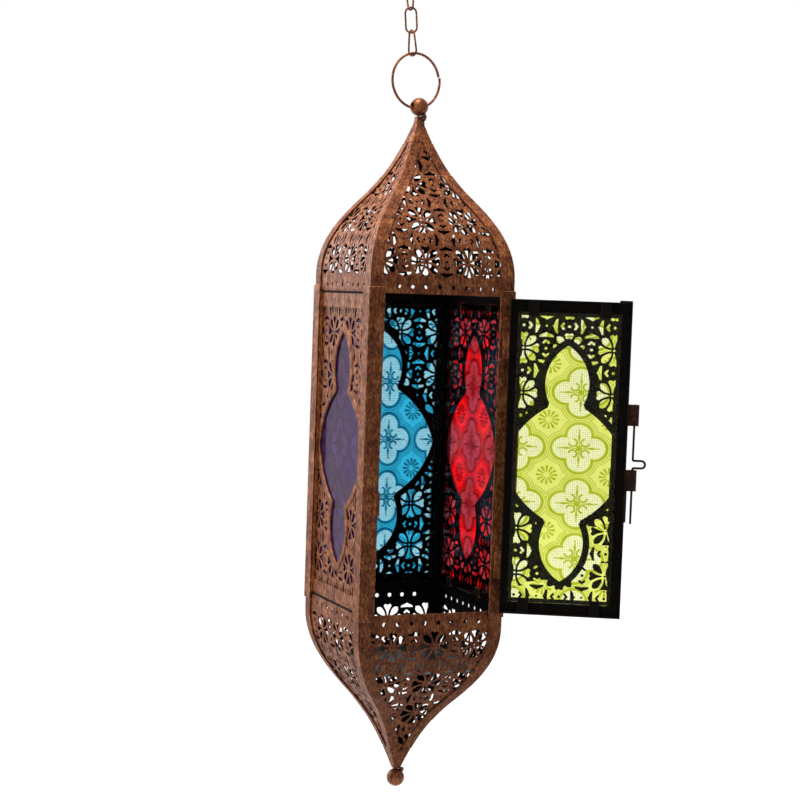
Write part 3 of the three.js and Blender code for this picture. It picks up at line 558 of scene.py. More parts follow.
# A hole that runs off its field is drawn in to the field's edge, and left out if little remains
def trimmedHole(hole, keeps):
    kept = [Vector(point) for point in hole if keeps(*point)]
    if len(kept) == len(hole):
        return hole
    if len(kept) < len(hole) * 0.4:
        return None
    middle = sum(kept, Vector((0, 0))) / len(kept)
    if not keeps(*middle):
        return None
    outline = []
    for point in hole:
        share = 1 if keeps(*point) else next(
            (step / 12 for step in range(11, 0, -1)
             if keeps(*middle.lerp(Vector(point), step / 12))), 0.1)
        place = middle.lerp(Vector(point), share)
        outline.append((place.x, place.y))
    return outline


# Holes of the lattice with a flower at a given place, as far as they keep to the sheet
def latticeHoles(flowerX, flowerY, reach, keeps):
    holes = []
    pitch = fretwork["pitch"]
    steps = math.ceil(reach / pitch)
    for column in range(-steps, steps + 1):
        for row in range(-steps, steps + 1):
            centre = (flowerX + column * pitch, flowerY + row * pitch)
            for points, degrees in motif(column, row):
                hole = trimmedHole(turnedPoints(points, degrees, centre), keeps)
                if hole:
                    holes.append(hole)
    return holes


# The walls of the cut holes get the bright edge copper, partly rubbed paint and partly a painted
# highlight, and the back gets the near-black paint, partly painted shade of the unlit inside
def markFaces(sheet):
    for face in sheet.faces:
        if abs(face.normal.z) < 0.5:
            face.material_index = 1
        elif face.normal.z < 0:
            face.material_index = 2


print("fretwork dies")

# The five-lobed opening with its pressed rim

opening = {
    "tip": 89.5, "lobeHalf": 16.5, "lobePlace": 61, "neckHalf": 11.7, "neckPlace": 43.5,
    "bellyHalf": 36, "bellyPlace": 22, "half": 46, "rimWidth": 5.1, "rimRise": 0.8, "rimRound": 0.75,
    "rimLap": 1.2, "doorDrop": 4,
}


def openingOutline(limit, drop=0, grow=0):
    neck = (opening["neckHalf"], opening["neckPlace"])
    belly = arcThrough((opening["half"], 0), (opening["bellyHalf"], opening["bellyPlace"]), neck, 22)
    lobe = arcThrough(neck, (opening["lobeHalf"], opening["lobePlace"]), (0, opening["tip"]), 22)
    quarter = belly[:-1] + lobe[1:]
    upper = quarter + [(-x, y) for x, y in reversed(quarter[:-1])]
    outline = upper + [(x, -y) for x, y in reversed(upper[1:-1])]
    if grow:
        outline = grown(outline, grow)
    return [(max(-limit, min(limit, x)), y - drop) for x, y in outline]


def grown(outline, distance):
    result = []
    for i, corner in enumerate(outline):
        before, after = Vector(outline[i - 1]), Vector(outline[(i + 1) % len(outline)])
        into, away = (Vector(corner) - before).normalized(), (after - Vector(corner)).normalized()
        normal = Vector((into.y + away.y, -into.x - away.x)).normalized()
        place = Vector(corner) + normal * distance / max(0.5, normal.dot(Vector((into.y, -into.x))))
        result.append((place.x, place.y))
    return result


def isInside(x, y, outline):
    inside = False
    for (ax, ay), (bx, by) in zip(outline, outline[-1:] + outline[:-1]):
        if (ay > y) != (by > y) and x < (bx - ax) * (y - ay) / (by - ay) + ax:
            inside = not inside
    return inside


# Drawn lying down, X across and Y up the sheet, its face towards +Z, then stood up on its side
standing = Matrix.Rotation(math.pi / 2, 4, "X")


def fretworkPanel(name, halfX, halfY, windowX, flowers, drop, materials, place):
    hole = openingOutline(windowX, drop)
    keepOff = openingOutline(windowX + 2, drop, opening["rimWidth"] - opening["rimLap"])
    sheetHoles = []
    for flowerX, flowerY, isUpper in flowers:
        sheetHoles += latticeHoles(flowerX, flowerY, 2 * halfY, lambda x, y: (
            abs(x) < halfX - 1 and abs(y) < halfY - 1 and (y > -drop) == isUpper
            and not isInside(x, y, keepOff)))
    outline = [(-halfX, -halfY), (halfX, -halfY), (halfX, halfY), (-halfX, halfY)]
    sheet = curveShape([outline, hole, *sheetHoles], flat=True, extrude=body["tin"] / 2)
    shifted(sheet, 0, 0, -body["tin"] / 2)
    markFaces(sheet)
    rimLimit = windowX - 0.3
    rimEdges = [openingOutline(rimLimit, drop, opening["rimWidth"]), openingOutline(rimLimit - 0.3, drop)]
    rim = curveShape(rimEdges, flat=True, wire=opening["rimRound"])
    shifted(rim, 0, 0, opening["rimRise"] - opening["rimRound"])
    # the rim's top keeps the copper, its rounded sides get the bright edge copper, partly a painted
    # highlight, and its underside the near-black paint as painted shade
    for face in rim.faces:
        face.material_index = 0 if face.normal.z > 0.9 else 2 if face.normal.z < -0.5 else 1
    return newObject(name, joined([sheet, rim]), place, materials)


def pressedPane(name, halfX, halfY, gauge, material, place):
    shape = bmesh.new()
    bmesh.ops.create_cube(shape, size=1)
    bmesh.ops.scale(shape, verts=shape.verts, vec=(2 * halfX, 2 * halfY, gauge))
    shifted(shape, 0, 0, -gauge / 2)
    layer = shape.loops.layers.uv.new("paneMm")
    for face in shape.faces:
        for loop in face.loops:
            loop[layer].uv = (loop.vert.co.x, loop.vert.co.y)
    bmesh.ops.bevel(shape, geom=shape.edges[:], offset=0.25, segments=2, affect="EDGES", profile=0.5,
                    material=-1)
    return newObject(name, shape, place, [material])


# Side panels: the flowers stand in other places above and below the opening, and on every side
sidePanel = {
    "face": 56, "glassFace": 55, "glassGauge": 2.2, "glassHalf": 49.5, "sheetHalf": 55,
    "halfHeight": 114,
    "flowers": {"right": ((17, 91), (34.1, -54)), "back": ((20.3, 89.4), (5.6, -50.6)),
                "left": ((13, 89.2), (26.9, -55.9))},
}
glassTones = {
    "right": pressedGlass("rubyGlass", "#ff1418", "#6a0208", "#cc4450", 90, (2.5, 4), 0),
    "back": pressedGlass("turquoiseGlass", "#2eb0d8", "#054a68", "#a0dcec", 90, (2.2, 6), 0),
    "left": pressedGlass("violetGlass", "#7c3486", "#451a55", "#9858a0", 90, (2.5, 5), 0.35),
    "door": pressedGlass("limeGlass", "#e4ea74", "#a4b20e", "#f6f8c8", 0, (10.7, -8.6), 0),
}
panelTin = [agedCopper, rubbedAndHighlitCopper, darkPaintAndShade]
for side, turns in list(sides.items())[1:]:
    turn = lanternPlace @ quarterTurn(turns)
    place = turn @ Matrix.Translation((0, -sidePanel["face"] * mm, 0)) @ standing
    window = body["half"] - body["postFlange"] - body["fit"]
    upperFlower, lowerFlower = sidePanel["flowers"][side]
    panel = fretworkPanel(
        f"{side}FretworkSheet", sidePanel["sheetHalf"], sidePanel["halfHeight"], window,
        [(*upperFlower, True), (*lowerFlower, False)], 0, panelTin, place)
    finish(panel, "lantern", "aged_copper_paint", f"{side}_fretwork")
    glassPlace = turn @ Matrix.Translation((0, -sidePanel["glassFace"] * mm, 0)) @ standing
    glass = pressedPane(f"{side}PressedPane", sidePanel["glassHalf"], sidePanel["halfHeight"],
                        sidePanel["glassGauge"], glassTones[side], glassPlace)
    slot = {"right": "red_glass", "back": "blue_glass", "left": "purple_glass"}[side]
    finish(glass, "lantern", slot, f"{side}_glass")
print("side panels")

# Door: the same sheet cut narrower, with its own pane
doorPanel = {"upperFlower": (0, 83), "lowerFlower": (0, -54), "face": 59, "glassFace": 58,
             "glassGauge": 2.2}
doorHalf = doorLeaf["windowHalfWidth"] + doorLeaf["glassLap"]
doorHalfHeight = doorLeaf["windowHalfHeight"] + doorLeaf["glassLap"]


def onDoor(face):
    outwards = -face - doorLeaf["pinY"]
    return doorPlace @ Matrix.Translation(Vector((-doorLeaf["windowPlace"], outwards, 0)) * mm) @ standing


doorSheet = fretworkPanel(
    "doorFretworkSheet", doorHalf, doorHalfHeight, doorLeaf["windowHalfWidth"],
    [(*doorPanel["upperFlower"], True), (*doorPanel["lowerFlower"], False)], opening["doorDrop"],
    panelTin, onDoor(doorPanel["face"]))
finish(doorSheet, "door", "dark_paint", "door_fretwork")
doorPane = pressedPane("doorPressedPane", doorHalf, doorHalfHeight, doorPanel["glassGauge"],
                       glassTones["door"], onDoor(doorPanel["glassFace"]))
finish(doorPane, "door", "green_glass", "door_glass")
print("door panel")

# Domes: ogee profile, half width against height, with the length along it
dome = {
    "foot": 120.4, "height": 131.6, "bandHeight": 12.6, "halfWidth": 58.7, "waistHalf": 31,
    "waistHeight": 76.1, "apexHalf": 3.2, "shoulderPull": 28, "waistPull": 22, "apexPull": 20,
    "waistLean": 38.5, "apexLean": 18.5, "steps": 22, "stripWidth": 10.5, "capHeight": 15,
    "panelTopGap": 14, "stripTop": 116.3, "tuckUnder": 1.5,
    "paintedShadowHeight": 0.5, "jointDepth": 0.8, "lapPlaces": (102, 77), "lapRise": 0.25, "lapFall": 0.2,
    "underCap": (116.4, 119), "underCapGap": 0.05, "sheetRows": 48, "smoothAngle": 35,
}


def bezier(a, b, c, d, steps):
    points = []
    for i in range(1, steps + 1):
        t = i / steps
        u = 1 - t
        points.append(a * u ** 3 + b * 3 * u * u * t + c * 3 * u * t * t + d * t ** 3)
    return points


def domeStations():
    half, foot = dome["halfWidth"], dome["foot"]
    waist = Vector((dome["waistHalf"], foot + dome["waistHeight"]))
    apex = Vector((dome["apexHalf"], foot + dome["height"]))
    shoulder = Vector((half, foot + dome["bandHeight"]))
    lean, tipLean = math.radians(dome["waistLean"]), math.radians(dome["apexLean"])
    waistHandle = Vector((math.sin(lean), -math.cos(lean))) * dome["waistPull"]
    apexHandle = Vector((math.sin(tipLean), -math.cos(tipLean))) * dome["apexPull"]
    points = [Vector((half, foot)), Vector((half, foot + dome["bandHeight"] / 2)), shoulder]
    points += bezier(shoulder, shoulder + Vector((0, dome["shoulderPull"])), waist + waistHandle, waist,
                     dome["steps"])
    points += bezier(waist, waist - waistHandle, apex + apexHandle, apex, dome["steps"])
    stations = []
    travelled = 0
    for i, point in enumerate(points):
        before, after = points[max(i - 1, 0)], points[min(i + 1, len(points) - 1)]
        along = (after - before).normalized()
        travelled += (point - points[i - 1]).length if i else 0
        stations.append({"half": point.x, "z": point.y, "length": travelled,
                         "outX": along.y, "outZ": -along.x})
    return stations


stations = domeStations()


def domeAt(key, value):
    for low, high in zip(stations, stations[1:]):
        if value <= high[key] or high is stations[-1]:
            share = (value - low[key]) / (high[key] - low[key])
            return {name: low[name] + (high[name] - low[name]) * share for name in low}


# Flat place on a dome's front side (across, along the profile, inwards) to its place in space
def bentOnDome(x, travelled, depth, direction):
    here = domeAt("length", travelled)
    out = here["half"] - here["outX"] * depth
    return Vector((x, -out, direction * (here["z"] - here["outZ"] * depth)))


domeFlowers = {
    ("top", "front"): (-14.1, 24.9), ("bottom", "front"): (4, 25.5), ("top", "left"): (9.5, 25.5),
    ("bottom", "left"): (11, 25), ("top", "right"): (-14.1, 25.5), ("bottom", "right"): (-8, 25),
    ("top", "back"): (6, 25), ("bottom", "back"): (-12, 25),
}
bandHoles = {"pitch": 11.1, "radius": 1.7, "count": 8, "rise": 5.6, "shift": 3.3,
             "lowerFrontRise": 7.2, "lowerFrontShift": 1.0}


def domePanel(level, side, turns):
    direction = 1 if level == "top" else -1
    top = domeAt("z", dome["foot"] + dome["height"] - dome["panelTopGap"])["length"]
    edge = 2 * body["tin"] + 2 * body["fit"]
    lengths = [top * i / dome["sheetRows"] for i in range(dome["sheetRows"] + 1)]
    if side != "front":
        lengths[:1] = [-dome["tuckUnder"], dome["paintedShadowHeight"]]
    rightEdge = [(domeAt("length", s)["half"] - edge, s) for s in lengths]
    outline = rightEdge + [(-x, s) for x, s in reversed(rightEdge)]
    flowerX, flowerY = domeFlowers[(level, side)]

    def keeps(x, y):
        half = domeAt("length", y)["half"]
        return dome["bandHeight"] - 0.5 < y < top - 1 and abs(x) < half - dome["stripWidth"] + 0.03 * y

    holes = latticeHoles(flowerX, flowerY, top + 20, keeps)
    rise, shift = bandHoles["rise"], bandHoles["shift"]
    if (level, side) == ("bottom", "front"):
        rise, shift = bandHoles["lowerFrontRise"], bandHoles["lowerFrontShift"]
    for i in range(bandHoles["count"]):
        place = ((i - (bandHoles["count"] - 1) / 2) * bandHoles["pitch"] + shift, rise)
        holes.append(turnedPoints(roundHole(bandHoles["radius"], 10), 0, place))
    sheet = curveShape([outline, *holes], flat=True, extrude=body["tin"] / 2)
    markFaces(sheet)
    faceDepth = body["tin"] + body["fit"]
    # The strip where the sheet tucks in under the frame takes the near-black paint: a painted shadow line
    # in the gap under the band
    if side != "front":
        for face in sheet.faces:
            if face.calc_center_median().y < dome["paintedShadowHeight"]:
                face.material_index = 2
    for vert in sheet.verts:
        depth = faceDepth + body["tin"] / 2 - vert.co.z
        if vert.co.y < 0 and side != "front":
            depth += dome["jointDepth"]
        vert.co = bentOnDome(vert.co.x, vert.co.y, depth, direction)
    # the lower dome mirrors the sheet, which turns its faces round
    if direction < 0:
        bmesh.ops.reverse_faces(sheet, faces=sheet.faces)
    name = f"{level}Dome{side.capitalize()}Sheet"
    panel = newObject(name, sheet, lanternPlace @ quarterTurn(turns), panelTin, dome["smoothAngle"])
    finish(panel, "lantern", "aged_copper_paint", f"{level}_dome_panel_{side}")


def angleSection(corner, flange, gauge, z):
    outer, inner, edge = corner, corner - gauge, corner - flange
    return [Vector((x, -y, z)) for x, y in (
        (outer, outer), (edge, outer), (edge, inner), (inner, inner), (inner, edge), (outer, edge))]


def cornerStrip(level, corner, turns):
    direction = 1 if level == "top" else -1
    sections = []

    def addSection(here, lap):
        gauge = body["tin"] / here["outX"] + lap
        flange = min(dome["stripWidth"] - 0.02 * here["length"], here["half"] - body["fit"]) + lap
        sections.append(angleSection(here["half"] + lap, flange, gauge, direction * here["z"]))

    laps = [dome["lapPlaces"][turns % 2]]
    for here in stations:
        if here["z"] > dome["foot"] + dome["stripTop"]:
            break
        if laps and here["length"] > laps[0]:
            lap = laps.pop()
            addSection(domeAt("length", lap), dome["lapRise"])
            addSection(domeAt("length", lap + dome["lapFall"]), 0)
        addSection(here, 0 if not laps else dome["lapRise"])
    for z in dome["underCap"]:
        addSection(domeAt("z", dome["foot"] + z), -body["tin"] - dome["underCapGap"])
    strip = newObject(f"{level}Strip{capitalised(corner)}", drawnThrough(sections),
                      lanternPlace @ quarterTurn(turns), [agedCopper, rubbedAndHighlitCopper],
                      dome["smoothAngle"])
    softenEdges(strip, 0.25)
    finish(strip, "lantern", "aged_copper_paint", f"{level}_corner_strip_{corner}")


finials = {"ballSize": 14, "bottomNeck": 2.1, "neckHalf": 2.6, "holeWaist": 4, "holeMouth": 6.4,
           "ringTurn": 8}


def apexCap(level, ballHeight):
    direction = 1 if level == "top" else -1
    foot = dome["foot"] + dome["height"] - dome["capHeight"]
    halves = [(domeAt("z", foot)["half"], foot)]
    halves += [(here["half"], here["z"]) for here in stations if here["z"] > foot]
    halves.append((finials["neckHalf"], ballHeight - finials["ballSize"] / 2 - body["fit"]))
    square = ((-1, -1), (1, -1), (1, 1), (-1, 1))
    sections = [[Vector((x * half, y * half, direction * z)) for x, y in square] for half, z in halves]
    cap = newObject(f"{level}Cap", drawnThrough(sections), lanternPlace, [agedCopper, rubbedAndHighlitCopper],
                    dome["smoothAngle"])
    softenEdges(cap, 0.5)
    finish(cap, "lantern", "aged_copper_paint", f"{level}_cap")


for level in ("top", "bottom"):
    for side, turns in sides.items():
        domePanel(level, side, turns)
    for corner, turns in corners.items():
        cornerStrip(level, corner, turns)
bottomBallDepth = dome["foot"] + dome["height"] + finials["bottomNeck"] + finials["ballSize"] / 2
apexCap("top", body["ballHeight"])
apexCap("bottom", bottomBallDepth)
print("domes")

# Balls: the upper one is drilled right through and flared for the ring


def drilledBall():
    radius = finials["ballSize"] / 2
    mouth = math.asin(finials["holeMouth"] / finials["ballSize"])
    profile = [(radius * math.sin(mouth + (math.pi - 2 * mouth) * i / 16),
                -radius * math.cos(mouth + (math.pi - 2 * mouth) * i / 16)) for i in range(17)]
    throat = [(finials["holeWaist"] / 2 + (profile[0][0] - finials["holeWaist"] / 2) * (abs(t) ** 1.6),
               -profile[0][1] * t) for t in (0.75, 0.5, 0.25, 0, -0.25, -0.5, -0.75)]
    points = profile + [(x, -y) for x, y in throat[::-1]][::-1]
    shape = bmesh.new()
    verts = [shape.verts.new((x, 0, z)) for x, z in points]
    for a, b in zip(verts, verts[1:] + verts[:1]):
        shape.edges.new((a, b))
    bmesh.ops.spin(shape, geom=shape.edges[:] + shape.verts[:], cent=(0, 0, 0), axis=(0, 0, 1),
                   angle=2 * math.pi, steps=32, use_merge=True)
    bmesh.ops.remove_doubles(shape, verts=shape.verts, dist=0.001)
    bmesh.ops.recalc_face_normals(shape, faces=shape.faces)
    return shape


ballPlace = (lanternPlace @ Matrix.Translation((0, 0, body["ballHeight"] * mm))
             @ Matrix.Rotation(math.radians(finials["ringTurn"]), 4, "Z")
             @ Matrix.Rotation(math.pi / 2, 4, "Y"))
topBall = newObject("topBall", drilledBall(), ballPlace, [wireCopper], 40)
finish(topBall, "lantern", "aged_copper_paint", "top_ball")

lowerBall = bmesh.new()
bmesh.ops.create_uvsphere(lowerBall, u_segments=32, v_segments=20, radius=finials["ballSize"] / 2)
bottomBall = newObject(
    "bottomBall", shifted(lowerBall, 0, 0, -bottomBallDepth), lanternPlace, [wireCopper], 40)
finish(bottomBall, "lantern", "aged_copper_paint", "bottom_ball")

# Solder that ran down beside each ball
solderLumps = {
    "topBallSolder": ((2.6, -3.6, 256.8), (2.2, 2.2, 3.2)),
    "topSeamSolder": ((1.9, -3.4, 251.8), (1.6, 1.4, 2.6)),
    "bottomBallSolder": ((4.0, -2.0, -254.6), (2.0, 2.0, 1.9)),
}
for name, (spot, size) in solderLumps.items():
    lump = bmesh.new()
    bmesh.ops.create_icosphere(lump, subdivisions=3, radius=1)
    for vert in lump.verts:
        ripple = math.sin(5 * vert.co.x + spot[0]) * math.cos(4 * vert.co.z + spot[2])
        vert.co *= 1 + 0.12 * ripple
    bmesh.ops.scale(lump, verts=lump.verts, vec=size)
    piece = newObject(name, shifted(lump, *spot), lanternPlace, [solder], 60)
    finish(piece, "lantern", "aged_copper_paint")
print("finials")

# Corner posts
for corner, turns in corners.items():
    levels = (-body["postHalfHeight"], body["postHalfHeight"])
    sections = [angleSection(body["half"], body["postFlange"], body["postGauge"], z) for z in levels]
    post = newObject(f"post{capitalised(corner)}", drawnThrough(sections),
                     lanternPlace @ quarterTurn(turns), [agedCopper, rubbedAndHighlitCopper])
    softenEdges(post, 0.4)
    finish(post, "lantern", "aged_copper_paint", f"corner_post_{corner}")
print("posts")

# Ring, chain and hook, each along its own wire
hanging = {
    "ringSize": 44, "ringWire": 2, "ringStep": 0.8, "ringJoint": 0.6, "linkLength": 20.7,
    "linkWidth": 10, "linkNarrow": 7, "linkWire": 1.5, "hookWire": 2, "hookEye": 10, "hookBend": 15.75,
    "hookSlant": 30, "chainLean": 5, "ringLean": 10.7, "ringSag": 0.7,
    "linkGap": 0.3, "outerTurn": -70, "middleTurn": -23,
}


def inXZ(points):
    return [(x, 0, z) for x, z in points]


def bentWire(name, path, wire, closed, place, bodyName, node, paint=wireCopper):
    shape = curveShape([inXZ(path)], closed=closed, wire=wire / 2, rounding=5)
    piece = newObject(name, shape, place, [paint], 50)
    finish(piece, bodyName, "aged_copper_paint", node)


def jointPlace(name):
    return Vector(joints[name]["pos_m"])


# Pieces hang from each other along the chain's line, from one joint to the next
def chainPlace(foot, turn):
    lean = Matrix.Rotation(math.radians(-hanging["chainLean"]), 4, "Y")
    rotation = lanternPlace.to_3x3().to_4x4() @ lean @ Matrix.Rotation(math.radians(turn), 4, "Z")
    return Matrix.Translation(foot) @ rotation


def linkPath(lowerWidth, upperWidth):
    wire, length = hanging["linkWire"], hanging["linkLength"] - hanging["linkWire"]
    lower, upper = (lowerWidth - wire) / 2, (upperWidth - wire) / 2
    tangent = math.degrees(math.asin((lower - upper) / (length - lower - upper)))
    return (arc(0, lower, lower, 180 - tangent, 360 + tangent, 18)
            + arc(0, length - upper, upper, tangent, 180 - tangent, 18))


def ringPath():
    radius = (hanging["ringSize"] - hanging["ringWire"]) / 2
    gap = math.degrees(hanging["ringJoint"] / radius)
    steps = 96
    path = []
    for i in range(steps + 1):
        angle = math.radians(gap / 2 + (360 - gap) * i / steps)
        here = radius + hanging["ringStep"] * (i / steps - 0.5)
        path.append((here * math.cos(angle), here * math.sin(angle)))
    return path


def hookPath():
    eye, bend, slant = hanging["hookEye"] / 2, hanging["hookBend"] / 2, hanging["hookSlant"]
    shank = (eye + bend) / math.tan(math.radians(slant))
    rise = (eye + bend + (eye + bend) * math.sin(math.radians(slant))
            + shank * math.cos(math.radians(slant)))
    return (arc(0, eye, eye, 170, 360 + slant, 20)
            + arc(0, rise - bend, bend, 180 + slant, -10, 26))


ringUp = Vector((-math.sin(math.radians(hanging["ringLean"])), 0,
                 math.cos(math.radians(hanging["ringLean"]))))
ringUp.rotate(Matrix.Rotation(math.radians(finials["ringTurn"]), 3, "Z"))
ringRadius = (hanging["ringSize"] - hanging["ringWire"]) / 2
ringCentre = Vector((0, 0, body["ballHeight"])) + ringUp * (ringRadius - hanging["ringSag"])
ringPlace = (lanternPlace @ Matrix.Translation(ringCentre * mm)
             @ Matrix.Rotation(math.radians(finials["ringTurn"]), 4, "Z")
             @ Matrix.Rotation(math.radians(-hanging["ringLean"]), 4, "Y"))
bentWire("hangingRing", ringPath(), hanging["ringWire"], False, ringPlace, "ring", "hanging_ring")

chainUp = (jointPlace("chain_middle_swing") - jointPlace("ring_swing")).normalized()
lowFoot = ((lanternPlace @ ((ringCentre + ringUp * ringRadius) * mm))
           - chainUp * ((hanging["ringWire"] + hanging["linkWire"]) / 2 + hanging["linkGap"]) * mm)
linkRise = (hanging["linkLength"] - 2 * hanging["linkWire"] - hanging["linkGap"]) * mm
hookRise = (hanging["linkLength"] - hanging["linkWire"] - (hanging["linkWire"] + hanging["hookWire"]) / 2
            - hanging["linkGap"]) * mm
feet = [lowFoot, lowFoot + chainUp * linkRise, lowFoot + chainUp * 2 * linkRise]
hookFoot = feet[2] + chainUp * hookRise
width, narrow, linkWire = hanging["linkWidth"], hanging["linkNarrow"], hanging["linkWire"]
bentWire("chainLinkLow", linkPath(width, narrow), linkWire, True,
         chainPlace(feet[0], hanging["outerTurn"]), "link_low", "chain_link_low")
bentWire("chainLinkMiddle", linkPath(width, width), linkWire, True,
         chainPlace(feet[1], hanging["middleTurn"]), "link_middle", "chain_link_middle")
bentWire("chainLinkHigh", linkPath(narrow, width), linkWire, True,
         chainPlace(feet[2], hanging["outerTurn"]), "link_high", "chain_link_high")
bentWire("hangingHook", hookPath(), hanging["hookWire"], False,
         chainPlace(hookFoot, hanging["outerTurn"] + 90), "hook", "hanging_hook")
print("ring and chain")

# Latch bolt: one bent wire
bolt = {"place": 100.2, "size": 1.7, "bracketFace": 61, "gap": 0.2, "handle": 5.6, "reach": 9.25,
        "corner": 1, "top": 40, "foot": -6.1, "end": -47.6}


def boltPath():
    bend, corner = bolt["handle"] / 2, bolt["corner"]
    bar = bolt["place"] + bolt["reach"] - bend
    x = -bolt["place"] - corner
    middle = bolt["foot"] + corner + bend
    return ([(-bolt["place"], bolt["top"])]
            + arc(x, middle + bend + corner, corner, 0, -90, 6)
            + arc(-bar, middle, bend, 90, 270, 14)
            + arc(x, bolt["foot"], corner, 90, 0, 6)
            + [(-bolt["place"], bolt["end"])])


boltOut = -(bolt["bracketFace"] + bolt["size"] / 2 + bolt["gap"]) - doorLeaf["pinY"]
# the bolt takes the dark worn paint, darkened as painted shade of the backlit door
bentWire("latchBolt", boltPath(), bolt["size"], False,
         doorPlace @ Matrix.Translation((0, boltOut * mm, 0)), "bolt", "latch_bolt", wornEdgeInShade)
print("latch")

# Plain sheet pieces keep the imported shape, with their cut and folded edges rounded. On the frames of
# the three fixed sides the narrow walls get the bright edge copper as well, partly rubbed paint and
# partly a painted highlight. The door's frame and brackets are near-black as painted shade of the
# backlit door.
copperTin = (agedCopper, rubbedAndHighlitCopper)
sheetPieces = [
    (("right_frame", "back_frame", "left_frame"), copperTin, 0.35, "lantern", "aged_copper_paint"),
    (("door_frame",), (darkPaintAndShade, wornEdgeInShade), 0.25, "door", "dark_paint"),
    (("candle_plate",), (galvanised, galvanised), 0.3, "lantern", "galvanised_sheet"),
    (("upper_hinge_post_leaf", "lower_hinge_post_leaf"), copperTin, 0.2, "lantern",
     "aged_copper_paint"),
    (("upper_hinge_door_leaf", "lower_hinge_door_leaf"), copperTin, 0.2, "door",
     "aged_copper_paint"),
    (("upper_hinge_pin", "lower_hinge_pin"), (wireCopper, wireCopper), 0.2, "lantern",
     "aged_copper_paint"),
    (("upper_bolt_bracket", "lower_bolt_bracket"), (wornEdgeInShade, wornEdgeInShade), 0.2, "door",
     "dark_paint"),
    (("latch_catch",), copperTin, 0.4, "lantern", "aged_copper_paint"),
]


def sheetPiece(node, paints, edgeWidth, bodyName, slotName):
    mesh = frame["nodes"][node].data
    shape = bmesh.new()
    shape.from_mesh(mesh)
    bmesh.ops.remove_doubles(shape, verts=shape.verts, dist=0.002 * mm)
    side, _, kind = node.partition("_")
    if kind == "frame" and side in sides:
        outwards = (lanternPlace @ quarterTurn(sides[side])).to_3x3() @ Vector((0, -1, 0))
        for face in shape.faces:
            face.material_index = 1 if abs(face.normal.dot(outwards)) < 0.5 else 0
    name = capitalised(node)
    piece = newObject(name[0].lower() + name[1:], shape, toMetres.inverted(), paints)
    softenEdges(piece, edgeWidth)
    finish(piece, bodyName, slotName, node)


for nodes, *treatment in sheetPieces:
    for node in nodes:
        sheetPiece(node, *treatment)
print("frames, hinges and plate")

# Floor, light and camera
stage = {"floorDepth": 1500, "floorHalf": 6000, "floorGlow": 0.94}
floorShape = bmesh.new()
bmesh.ops.create_grid(floorShape, x_segments=1, y_segments=1, size=stage["floorHalf"])
shifted(floorShape, 0, 0, -stage["floorDepth"])


# 1 for the rays by which the camera, metal and glass see the background, and 0 for the rest
def seenAs(tree):
    path = addNode(tree, "LightPath")
    rays = {ray: path.outputs[f"Is {ray} Ray"] for ray in ("Camera", "Glossy", "Transmission")}
    return addSteps(tree, [
        ("direct", "MAXIMUM", "Camera", "Glossy"),
        ("seen", "MAXIMUM", "direct", "Transmission"),
    ], rays)


# Matt pale paint: the camera, metal and glass see it as white as the backdrop
floorPaint, tree, shader = startMaterial("paleFloor")
glow = addSteps(tree, [("glow", "MULTIPLY", "seen", stage["floorGlow"])], seenAs(tree))["glow"]
feed(tree, shader, {"Base Color": srgb("#b4b4b4"), "Roughness": 0.9,
                    "Emission Color": (1, 1, 1, 1), "Emission Strength": glow})
floor = newObject("floor", floorShape, Matrix.Identity(4), [floorPaint])

world = bpy.data.worlds.new("whiteStudio")
bpy.context.scene.world = world
world.use_nodes = True
tree = world.node_tree
tree.nodes.clear()
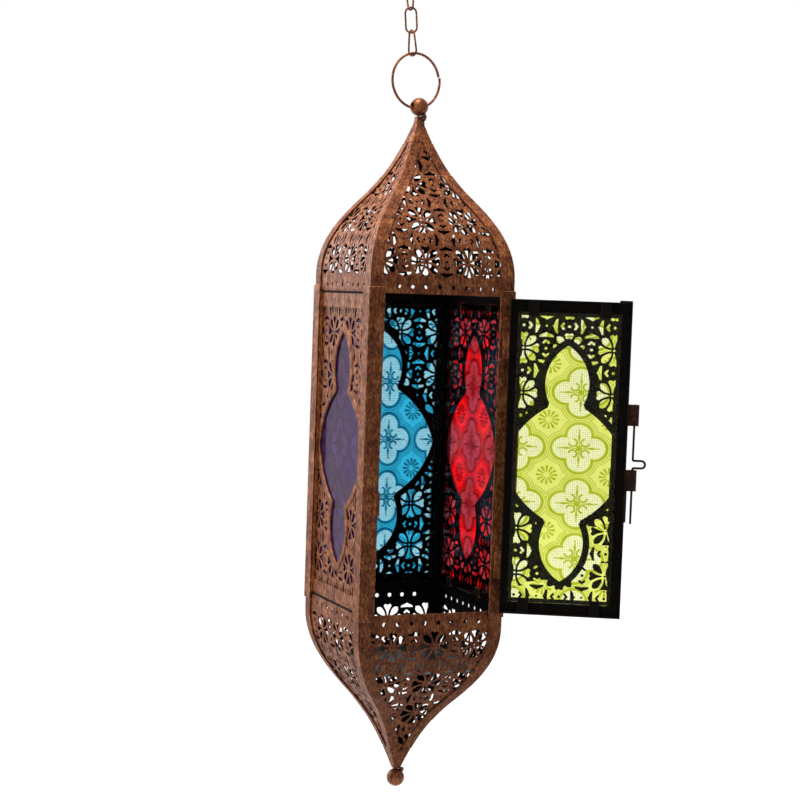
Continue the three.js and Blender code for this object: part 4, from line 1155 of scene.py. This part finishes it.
# A white backdrop lights the lantern from behind and above, and the room in front of it is dim. The
# camera, metal and glass see white all round.
direction = addNode(tree, "TexCoord").outputs["Generated"]
towards = addNode(tree, "VectorMath", {"operation": "DOT_PRODUCT", 1: (-0.3, 0.9, 0.3)}, {
    0: direction})
room = addNode(tree, "MapRange", {
    "From Min": 0.1, "From Max": 0.8, "To Min": 0.03, "To Max": 0.65}, {
    "Value": towards.outputs["Value"]})
lit = {**seenAs(tree), "room": room.outputs[0]}
strength = addSteps(tree, [("strength", "MAXIMUM", "seen", "room")], lit)["strength"]
light = addNode(tree, "Background", {"Color": (1, 1, 1, 1)}, {"Strength": strength})
addNode(tree, "OutputWorld", None, {"Surface": light.outputs[0]})


def addLamp(name, place, target, size, power):
    lamp = bpy.data.lights.new(name, "AREA")
    lamp.size = size
    lamp.energy = power
    holder = bpy.data.objects.new(name, lamp)
    turn = (Vector(target) - Vector(place)).to_track_quat("-Z", "Y")
    holder.matrix_world = Matrix.Translation(place) @ turn.to_matrix().to_4x4()
    bpy.context.scene.collection.objects.link(holder)


middle = (0, 0, -0.39)
addLamp("backLeftSoftbox", (-1.2, 2.0, 0.3), middle, 0.8, 16)
addLamp("topSoftbox", (-0.25, -0.1, 1.1), middle, 0.7, 22)
addLamp("leftSoftbox", (-2.2, -0.2, 0.0), middle, 1.4, 1.5)

camera = {"distance": 1393.6, "azimuth": -23.035, "elevation": 4.94, "aimAcross": -6.85,
          "aimUp": 37.4, "roll": 2.022, "lens": 80.153, "sensor": 36}


def placeCamera():
    azimuth, elevation, roll = (math.radians(camera[key]) for key in ("azimuth", "elevation", "roll"))
    position = camera["distance"] * Vector((
        math.sin(azimuth) * math.cos(elevation), -math.cos(azimuth) * math.cos(elevation),
        math.sin(elevation)))
    aim = Vector((camera["aimAcross"] * math.cos(azimuth), camera["aimAcross"] * math.sin(azimuth),
                  camera["aimUp"]))
    forward = (aim - position).normalized()
    right = forward.cross(Vector((0, 0, 1))).normalized()
    up = right.cross(forward)
    cosine, sine = math.cos(roll), math.sin(roll)
    rolled = Matrix((right * cosine + up * sine, up * cosine - right * sine, -forward))
    turn = rolled.transposed().to_4x4()
    data = bpy.data.cameras.new("photoCamera")
    data.lens = camera["lens"]
    data.sensor_width = camera["sensor"]
    data.clip_end = 50
    holder = bpy.data.objects.new("photoCamera", data)
    holder.matrix_world = lanternPlace @ Matrix.Translation(position * mm) @ turn
    bpy.context.scene.collection.objects.link(holder)
    bpy.context.scene.camera = holder


placeCamera()
bpy.context.scene.view_settings.view_transform = "Standard"
print("stage")
